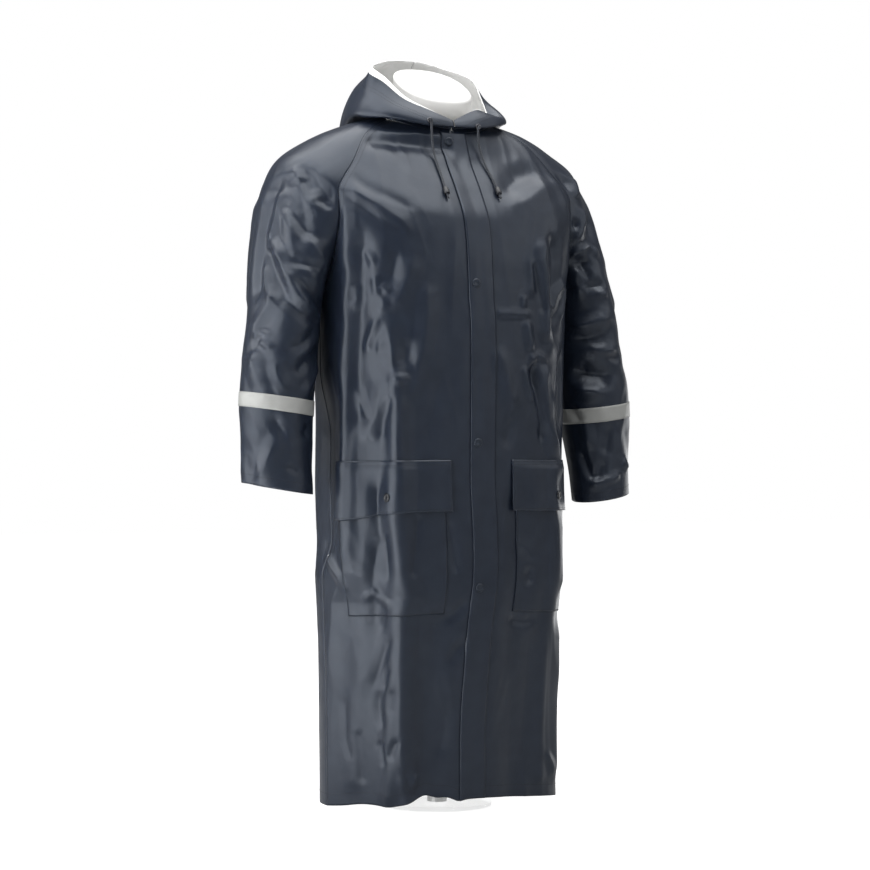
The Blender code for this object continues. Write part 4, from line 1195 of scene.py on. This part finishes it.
def point_on(surface, row, column):
    """A point of a surface at fractional rows and columns, and its normal."""
    low_row = min(int(row), surface.points.shape[0] - 2)
    low_column = min(int(column), surface.points.shape[1] - 2)
    down = row - low_row
    across = column - low_column

    def blend(grid):
        pair = grid[low_row:low_row + 2]
        near, far = (pair[:, low_column] * (1 - across) + pair[:, low_column + 1] * across)
        return near * (1 - down) + far * down

    normal = blend(surface.normals)
    return blend(surface.points), normal / np.linalg.norm(normal)


# ---------------------------------------------------------------- sewing
STITCH_STEP = 3.4
STITCH_LENGTH = 2.7
STITCH_WIDTH = 1.2
STITCH_RISE = 0.30
STITCH_SHARP_ANGLE = 180
NO_LENGTH = 1e-6            # less than this is none
SEAM_STITCHES = (2.5, 9.5)  # from a raglan seam
SEAM_STITCH_STOP = 6        # rows above the underarm
SIDE_STITCH = 3.0           # from a side seam
HEM_STITCH = 20.0           # above the hem
CUFF_STITCH = 16.0
HOOD_STITCHES = (20, 26)    # from its rim; the cord's tunnel
POCKET_STITCH = 2.5
FLAP_STITCHES = (2.5, 8.5)  # from its top
FLAP_EDGE_STITCH = 4


def column_line(surface, inset, rows=None, from_right=False):
    """A line at a set distance in from the surface's left or right edge."""
    points = []
    normals = []
    for row in rows or range(surface.points.shape[0]):
        edge = surface.points[row, ::-1] if from_right else surface.points[row]
        up = surface.normals[row, ::-1] if from_right else surface.normals[row]
        so_far = travelled(edge)
        points.append([np.interp(inset, so_far, edge[:, axis]) for axis in range(3)])
        normals.append([np.interp(inset, so_far, up[:, axis]) for axis in range(3)])
    return np.array(points), np.array(normals)


def row_line(surface, inset, from_bottom=False):
    """A line at a set distance in from the surface's top or bottom edge."""
    turned_over = surface._replace(points=surface.points.transpose(1, 0, 2),
                                   normals=surface.normals.transpose(1, 0, 2))
    return column_line(turned_over, inset, from_right=from_bottom)


def stitches(name, lines, lift=0.0):
    """Small threads along lines of points and normals, lifted off them, as one piece."""
    vertices = []
    faces = []
    for points, normals in lines:
        points = points + normals * lift
        so_far = travelled(points)
        count = max(1, int(so_far[-1] / STITCH_STEP))
        for number in range(count):
            middle = (number + 0.5) * so_far[-1] / count
            start, centre, end = resampled(points, [middle - STITCH_LENGTH / 2, middle,
                                                    middle + STITCH_LENGTH / 2])
            up = normals[0]
            if length_of(normals) > NO_LENGTH:
                up = resampled(normals, [np.interp(middle, so_far, travelled(normals))])[0]
            ahead = end - start
            if np.linalg.norm(ahead) < NO_LENGTH:
                continue
            ahead = ahead / np.linalg.norm(ahead)
            aside = np.cross(up, ahead) * STITCH_WIDTH / 2
            raised = up * STITCH_RISE
            first = len(vertices)
            vertices += [start, end, centre + aside, centre + raised, centre - aside,
                         centre - raised]
            ring = [first + 2, first + 3, first + 4, first + 5]
            for here, after in zip(ring, ring[1:] + ring[:1]):
                faces.append((first, after, here))
                faces.append((first + 1, here, after))
    mesh = mesh_from("stitches_" + name, np.array(vertices) * MM, faces, STITCH_SHARP_ANGLE)
    add_object("stitches_" + name, mesh, THREAD)


# ---------------------------------------------------------------- hoods and drawcords
EYELET_TURNS = 14
ROUTE_POINTS = 161
ROUTE_FINER = 3             # points of a cord's curve for each step
CORD_ROUNDNESS = 5          # steps of its bevel
# Shares of a bell's radius and of half its length, down its outer side.
BELL_PROFILE = [(0.5, 1), (0.62, 0.94), (0.72, 0.8), (0.86, 0.5), (0.96, 0), (1, -0.6),
                (0.97, -0.85), (0.88, -1)]


def add_eyelet(name, point, normal):
    seat = point + normal * (LAY + EYELET_WIRE)
    turns = np.arange(EYELET_TURNS) * 2 * math.pi / EYELET_TURNS
    wire = [(EYELET_RADIUS + EYELET_WIRE * math.sin(turn), EYELET_WIRE * math.cos(turn))
            for turn in turns]
    turned(name, wire, METAL, (seat, normal))


def smooth_route(points, step):
    """Points every step or so along a smooth curve through the given ones."""
    fine = np.array([eased(points, at) for at in np.linspace(0, len(points) - 1, ROUTE_POINTS)])
    whole = length_of(fine)
    return resampled(fine, np.linspace(0, whole, round(whole / step) + 1))


def add_bell(name, route):
    """The bell near the end of a cord's route."""
    bottom_at = length_of(route) - CORD_TAIL
    top, middle, bottom = resampled(route, [bottom_at - BELL_LENGTH, bottom_at - BELL_LENGTH / 2,
                                            bottom_at])
    half = BELL_LENGTH / 2
    outer = [(BELL_RADIUS * across, half * up) for across, up in BELL_PROFILE]
    profile = [(BELL_BORE, half), *outer, (BELL_BORE, -half)]
    return turned(name, profile, PLASTIC, (middle, top - bottom))


def add_drawcord(side_name, hood_half):
    """A free end of the hood's cord, its eyelet and its bell."""
    rise, way = EYELET_SHARES[side_name]
    point, normal = point_on(hood_half, rise * HOOD_PROFILE, way * HOOD_COLUMNS)
    add_eyelet("eyelet_" + side_name, point, normal)
    straight_out = [point + normal * CORD_START, point + normal * CORD_STEP]
    route = smooth_route(straight_out + CORD_ROUTES[side_name], CORD_STEP / ROUTE_FINER)
    name = "cord_" + side_name
    curve = bpy.data.curves.new("seen_" + name, "CURVE")
    curve.dimensions = "3D"
    curve.bevel_depth = CORD_RADIUS * MM
    curve.bevel_resolution = CORD_ROUNDNESS
    curve.use_fill_caps = True
    spline = curve.splines.new("POLY")
    spline.points.add(len(route) - 1)
    for spot, place in zip(spline.points, route):
        spot.co = (*(place * MM), 1)
    spline.use_smooth = True
    cord = add_object("seen_" + name, curve, BRAID, name)
    bell = add_bell("bell_" + side_name, route)


HOODS = {side_name: hood_surface(side) for side_name, side in SIDES}
for side_name, hood_half in HOODS.items():
    add_drawcord(side_name, hood_half)

# ---------------------------------------------------------------- the cloth
# Under the right arm the side is drawn in, most of all along its seam.
PULL = 20.0
PULL_LEVELS = (400, 470, 640, 760)      # where it starts, is full, lessens and ends
PULL_FROM = 250             # way round the front, to where it reaches
PULL_BACK = 90              # way round the back, from the seam

# The right front's hem: way round, half width and rise of each wave.
HEM_WAVES = [(84, 22, 13), (48, 14, 5), (26, 9, -3), (150, 20, -3), (205, 30, 3)]
HEM_WAVE_REACH = 110.0

POCKET_TOP_SWELL = 0.15     # of half a wave; how far on in it a pocket's top edge is
POCKET_COLUMNS = int(200 / FINE)
FLAP_COLUMNS = int(220 / FINE)
FLAP_TOP = 0.14             # of its height, from its sewn edge to where it stands off
FLAP_DROOP_FROM = 0.35      # of its width
SLEEVE_EASE_ROWS = 12       # above the underarm, where the seams let go of the sleeve
# Shares of a snap's radius and rise, from its middle outwards.
SNAP_PROFILE = [(0, 0.8), (0.42, 0.82), (0.5, 0.95), (0.62, 1), (0.8, 0.93), (0.93, 0.7),
                (1, 0.35), (1, 0), (0, 0)]


def pull_at(level):
    low, full, last, top = PULL_LEVELS
    return PULL * smoothstep(low, full, level) * (1 - smoothstep(last, top, level))


def waved_hem(panel):
    rise = np.zeros(panel.along.shape)
    for middle, half_width, height in HEM_WAVES:
        rise += height * np.exp(-((panel.along - middle) / half_width) ** 2)
    level = panel.points[..., 2]
    rise *= 1 - smoothstep(HEM_LEVEL, HEM_LEVEL + HEM_WAVE_REACH, level)
    points = panel.points.copy()
    points[..., 2] += rise
    return surface_from(points, panel.along, panel.turn)


def front_panel(side):
    panel = front_surface(side, PANEL_STATIONS, whole_front)
    if side == RIGHT:
        panel = waved_hem(panel)
    panel = creased(panel, FRONT_CREASES[side], FRONT_CRUMPLES, FRONT_GAINS[side],
                    sewn_fade(panel))
    if side == RIGHT:
        whole = panel.along[:, -1:]
        share = np.clip((panel.along - PULL_FROM) / (whole - PULL_FROM), 0, 1)
        panel = relieved(panel, -pull_at(panel.points[..., 2]) * share)
    return panel


def patch_of(side, levels, shares, standing):
    """A piece over a front, between two levels and two shares of its section."""
    def columns_for(whole):
        return PLACKET_HALF + (whole - PLACKET_HALF) * shares

    patch = front_surface(side, station_of(levels), columns_for)
    patch = creased(patch, FRONT_CREASES[side], FRONT_CRUMPLES, FRONT_GAINS[side])
    return moved_out(patch, standing)


def pocket_raise(levels, shares):
    """How far a patch pocket stands off the front, fullest at its middle."""
    down = (POCKET_ROWS[0] - levels) / (POCKET_ROWS[0] - POCKET_ROWS[1])
    across = (shares - POCKET_SHARES[0]) / (POCKET_SHARES[1] - POCKET_SHARES[0])
    inside = np.outer((down >= 0) & (down <= 1), (across >= 0) & (across <= 1))
    wave = np.clip(POCKET_TOP_SWELL + (1 - POCKET_TOP_SWELL) * down, 0, 1)
    swell = np.outer(np.sin(math.pi * wave), np.sin(math.pi * np.clip(across, 0, 1)))
    return LAY + POCKET_FULLNESS * np.where(inside, swell, 0)


def add_snap(name, surface, row, column, finish=CAP):
    """A snap's cap on the outer face of the wall whose inner face is the surface."""
    profile = [(SNAP_RADIUS * across, SNAP_RISE * up) for across, up in SNAP_PROFILE]
    point, normal = point_on(surface, row, column)
    seat = point + normal * (WALL + SNAP_SEAT)
    turned(name, profile, finish, (seat, normal))


def outline(patch, inset):
    """Lines in from a patch's two sides and its lower edge."""
    return [column_line(patch, inset), column_line(patch, inset, from_right=True),
            row_line(patch, inset, from_bottom=True)]


def add_pocket(side_name, side):
    levels = spaced(*POCKET_ROWS, FINE)
    shares = np.linspace(*POCKET_SHARES, POCKET_COLUMNS)
    patch = patch_of(side, levels, shares, pocket_raise(levels, shares))
    shell("pocket_" + side_name, patch, outward=True, inside=NAVY)

    levels = spaced(*FLAP_ROWS, FINE)
    shares = np.linspace(*FLAP_SHARES, FLAP_COLUMNS)
    down = (FLAP_ROWS[0] - levels) / (FLAP_ROWS[0] - FLAP_ROWS[1])
    hang = (down ** 2 * FLAP_LIFT)[:, None]
    over = (pocket_raise(levels, shares) + WALL + hang) * smoothstep(0, FLAP_TOP, down)[:, None]
    flap = patch_of(side, levels, shares, LAY + over)
    if side == RIGHT:
        outwards = smoothstep(FLAP_DROOP_FROM, 1, np.linspace(0, 1, len(shares)))
        flap.points[..., 2] -= FLAP_DROOP * np.outer(down, outwards)
    shell("flap_" + side_name, flap, outward=True, inside=NAVY)
    row = len(levels) - 1 - SNAP_UP_FLAP / FINE
    add_snap("snap_pocket_" + side_name, flap, row, (len(shares) - 1) / 2, PLASTIC)
    sewn = outline(patch, POCKET_STITCH)
    sewn += [row_line(flap, inset) for inset in FLAP_STITCHES]
    stitches("pocket_" + side_name, sewn + outline(flap, FLAP_EDGE_STITCH), WALL)


def add_front(side_name, side):
    panel = front_panel(side)
    shell("front_" + side_name, panel)
    yoke = range(1, len(YOKE_STATIONS) - SEAM_STITCH_STOP)
    below = range(len(YOKE_STATIONS), len(PANEL_STATIONS))
    sewn = [column_line(panel, inset, yoke, from_right=True) for inset in SEAM_STITCHES]
    sewn.append(column_line(panel, SIDE_STITCH, below, from_right=True))
    sewn.append(row_line(panel, HEM_STITCH, from_bottom=True))
    stitches("front_" + side_name, sewn)
    add_pocket(side_name, side)
    return panel


def add_back():
    panel = back_surface()
    panel = creased(panel, BACK_CREASES, BACK_CRUMPLES, BACK_GAIN, sewn_fade(panel))
    share = 1 - smoothstep(0, PULL_BACK, panel.along - panel.along[:, :1])
    panel = relieved(panel, -pull_at(panel.points[..., 2]) * share)
    shell("back", panel)
    yoke = range(1, len(YOKE_STATIONS) - SEAM_STITCH_STOP)
    sewn = [column_line(panel, inset, yoke, from_right=from_right)
            for inset in SEAM_STITCHES for from_right in (False, True)]
    sewn.append(row_line(panel, HEM_STITCH, from_bottom=True))
    stitches("back", sewn)


def add_sleeve(side_name, side):
    """A sleeve and its tape."""
    arm = sleeve_surface(side)
    fade = sewn_fade(arm)
    fade[TUBE_FROM:] = 1
    easing = smoothstep(0, SLEEVE_EASE_ROWS, np.arange(TUBE_FROM)[::-1])[:, None]
    fade[:TUBE_FROM] = 1 + (fade[:TUBE_FROM] - 1) * easing
    arm = creased(arm, SLEEVE_CREASES[side], SLEEVE_CRUMPLES, SLEEVE_GAINS[side], fade)
    shell("sleeve_" + side_name, arm)
    stitches("sleeve_" + side_name, [row_line(arm, CUFF_STITCH, from_bottom=True)])
    first, last = (TUBE_FROM + int(np.argmin(abs(TUBE_LEVELS - level))) for level in TAPE_ROWS)
    rows = slice(first, last + 1)
    band = Surface(arm.points[rows], arm.normals[rows], arm.along[rows], arm.turn, 0)
    shell("tape_" + side_name, moved_out(band, LAY), TAPE, TAPE_WALL,
          outward=True, inside=TAPE)


def add_hood(side_name, side):
    half = HOODS[side_name]
    shell("hood_" + side_name, lipped(half, side), lip_rows=LIP_ROWS)
    hem = [row_line(half, inset, from_bottom=True) for inset in HOOD_STITCHES]
    stitches("hood_" + side_name, hem)


def add_placket(right_front, left_front):
    """The placket and its snaps."""
    strip = placket_surface(right_front, left_front)
    free = np.clip(np.linspace(1, -1, strip.points.shape[1]), 0, 1)
    strip = moved_out(strip, LAY + FREE_EDGE_LIFT * free)
    shell("placket", strip, outward=True, inside=NAVY)
    column = SNAP_INSET / (PLACKET_HALF / (PLACKET_COLUMNS - 1))
    heights = strip.points[:, round(column), 2]
    for number, level in enumerate(SNAP_LEVELS, 1):
        row = float(np.interp(-level, -heights, range(len(heights))))
        add_snap("snap_%d" % number, strip, row, column)


fronts = [add_front(side_name, side) for side_name, side in SIDES]
add_back()
for side_name, side in SIDES:
    add_sleeve(side_name, side)
    add_hood(side_name, side)
add_placket(*fronts)

# ---------------------------------------------------------------- the dress form
FORM_SIDES = 96
FORM_FINER = 0.25           # of the way from one ring of the table to the next
FORM_SHARP_ANGLE = 50
NECK_ROUNDING_RINGS = 5
POLE_STEPS = 64
BASE_STEPS = 128
BASE_BEVEL_MIDDLE = 0.3     # of the bevel, in from both of its edges


def form_ring(ring):
    """One level ring of the torso, a superellipse about its own middle."""
    ring = FormRing(*ring)
    middle = (ring.front + ring.back) / 2
    depth = (ring.back - ring.front) / 2
    angles = np.arange(FORM_SIDES) * 2 * math.pi / FORM_SIDES
    cosines = np.cos(angles)
    sines = np.sin(angles)
    power = 2 / FORM_EXPONENT
    across = ring.half_width * np.sign(cosines) * np.abs(cosines) ** power
    deep = middle + depth * np.sign(sines) * np.abs(sines) ** power
    return np.stack((across, deep, np.full(FORM_SIDES, float(ring.z))), 1)


def neck_rings(neck):
    """The rings from the neck's last level one up round its slanting cut."""
    rings = []
    middle = neck.mean(0)
    for turn in np.linspace(0, math.pi / 2, NECK_ROUNDING_RINGS):
        inset = NECK_ROUNDING * (1 - math.cos(turn))
        below = NECK_ROUNDING * (1 - math.sin(turn))
        ring = middle + (neck - middle) * (1 - inset / FORM_RINGS[-1].half_width)
        ring[:, 2] = (NECK_TOP_LEVEL + NECK_SLOPE_X * ring[:, 0]
                      + NECK_SLOPE_Y * (ring[:, 1] - middle[1]) - below)
        rings.append(ring)
    return rings


def add_form():
    finer = np.arange(1, len(FORM_RINGS) - 1 + FORM_FINER / 2, FORM_FINER)
    rings = [form_ring(FORM_RINGS[0])] + [form_ring(eased(FORM_RINGS, at)) for at in finer]
    rings += neck_rings(rings[-1])
    faces = []
    for low in range(len(rings) - 1):
        for side in range(FORM_SIDES):
            after = (side + 1) % FORM_SIDES
            faces.append((low * FORM_SIDES + side, low * FORM_SIDES + after,
                          (low + 1) * FORM_SIDES + after, (low + 1) * FORM_SIDES + side))
    faces.append(tuple(reversed(range(FORM_SIDES))))
    faces.append(tuple(range((len(rings) - 1) * FORM_SIDES, len(rings) * FORM_SIDES)))
    mesh = mesh_from("seen_form_torso", np.concatenate(rings) * MM, faces, FORM_SHARP_ANGLE)
    torso = add_object("seen_form_torso", mesh, WHITE, "form_torso")
    top = FORM_RINGS[0].z - LAY
    bottom = BASE_HEIGHT + LAY
    turned("form_pole", [(0, top), (POLE_RADIUS, top), (POLE_RADIUS, bottom), (0, bottom)],
           STEEL, steps=POLE_STEPS)
    inset = BASE_BEVEL * BASE_BEVEL_MIDDLE
    turned("form_base", [(0, BASE_HEIGHT), (BASE_RADIUS - BASE_BEVEL, BASE_HEIGHT),
                         (BASE_RADIUS - inset, BASE_HEIGHT - inset),
                         (BASE_RADIUS, BASE_HEIGHT - BASE_BEVEL), (BASE_RADIUS, 0), (0, 0)],
           CLEAR, steps=BASE_STEPS)
    return torso


TORSO = add_form()

# ---------------------------------------------------------------- the kind of a cut's row
# A cut's width and length in metres, and the part of that rectangle which is cloth; the right
# and the left piece are cut the same.  Only this kind of row is made here; no table uses it.
Cut = namedtuple("Cut", "width length share")

# ---------------------------------------------------------------- floor and light
# Here places and sizes are in metres, and powers in watts.
FLOOR_HALF = 12.0
FLOOR_LEVEL = -0.0003       # just under the clear base
FLOOR_COLOUR = (0.45, 0.45, 0.45)   # as the coat reflects it; the camera sees it white
FLOOR_ROUGHNESS = 0.9
WORLD_STRENGTH = 0.15       # as it lights the coat; the camera sees it white
FLOOR_LIGHT_SPREAD = 80     # degrees
WHITE_LIGHT = (1, 1, 1, 1)


def add_floor():
    mesh = bpy.data.meshes.new("floor")
    corners = [(-1, -1), (1, -1), (1, 1), (-1, 1)]
    mesh.from_pydata([(x * FLOOR_HALF, y * FLOOR_HALF, FLOOR_LEVEL) for x, y in corners],
                     [], [(0, 1, 2, 3)])
    made, tree, shader = new_material("floor")
    shader.inputs["Base Color"].default_value = (*FLOOR_COLOUR, 1)
    shader.inputs["Roughness"].default_value = FLOOR_ROUGHNESS
    shader.inputs["Specular IOR Level"].default_value = 0.0
    shader.inputs["Emission Color"].default_value = WHITE_LIGHT
    seen = node(tree, "ShaderNodeLightPath")
    either = tree.nodes.new("ShaderNodeMath")
    either.operation = "MAXIMUM"
    tree.links.new(seen["Is Camera Ray"], either.inputs[0])
    tree.links.new(seen["Is Transmission Ray"], either.inputs[1])
    tree.links.new(either.outputs["Value"], shader.inputs["Emission Strength"])
    mesh.materials.append(made)
    linked("floor", mesh)


def add_world():
    world = bpy.data.worlds.new("studio")
    world.use_nodes = True
    scene.world = world
    tree = world.node_tree
    background = tree.nodes["Background"]
    background.inputs["Color"].default_value = WHITE_LIGHT
    seen = node(tree, "ShaderNodeLightPath")["Is Camera Ray"]
    strength = node(tree, "ShaderNodeMapRange", {"To Min": WORLD_STRENGTH, "To Max": 1.0},
                    {"Value": seen})["Result"]
    tree.links.new(strength, background.inputs["Strength"])


def add_light(name, place, aim, size, power):
    data = bpy.data.lights.new(name, "AREA")
    data.shape = "RECTANGLE"
    data.size, data.size_y = size
    data.energy = power
    light = linked(name, data)
    light.location = place
    light.rotation_mode = "QUATERNION"
    light.rotation_quaternion = (Vector(aim) - Vector(place)).to_track_quat("-Z", "Y")
    light.visible_camera = False
    return light


add_floor()
add_world()
add_light("overhead", (-0.6, 0.1, 3.6), (-0.3, 0, 0.8), (3.8, 5.0), 215)
add_light("left", (-4.2, -0.6, 1.5), (0, -0.6, 1.5), (4.8, 3.6), 171)
add_light("left_back", (-4.2, 3.1, 2.1), (0, 3.1, 2.1), (2.6, 2.4), 70)
add_light("right", (2.8, 1.9, 0.3), (0, 0, 0.3), (3.6, 1.2), 24)
add_light("upper_right", (1.7, -1.4, 2.7), (0, 0, 1.0), (3.4, 2.8), 21)
add_light("front", (0.5, -5.0, 1.5), (0, 0, 0.8), (4.0, 3.0), 9)
add_light("right_front", (2.9, -2.9, 1.6), (0, 0, 1.2), (4.4, 2.2), 15)
floor_light = add_light("floor_left", (-2.3, -0.5, 1.1), (-2.3, -0.5, 0), (2.6, 1.5), 110)
floor_light.visible_glossy = False
floor_light.data.spread = math.radians(FLOOR_LIGHT_SPREAD)
scene.view_settings.view_transform = "Standard"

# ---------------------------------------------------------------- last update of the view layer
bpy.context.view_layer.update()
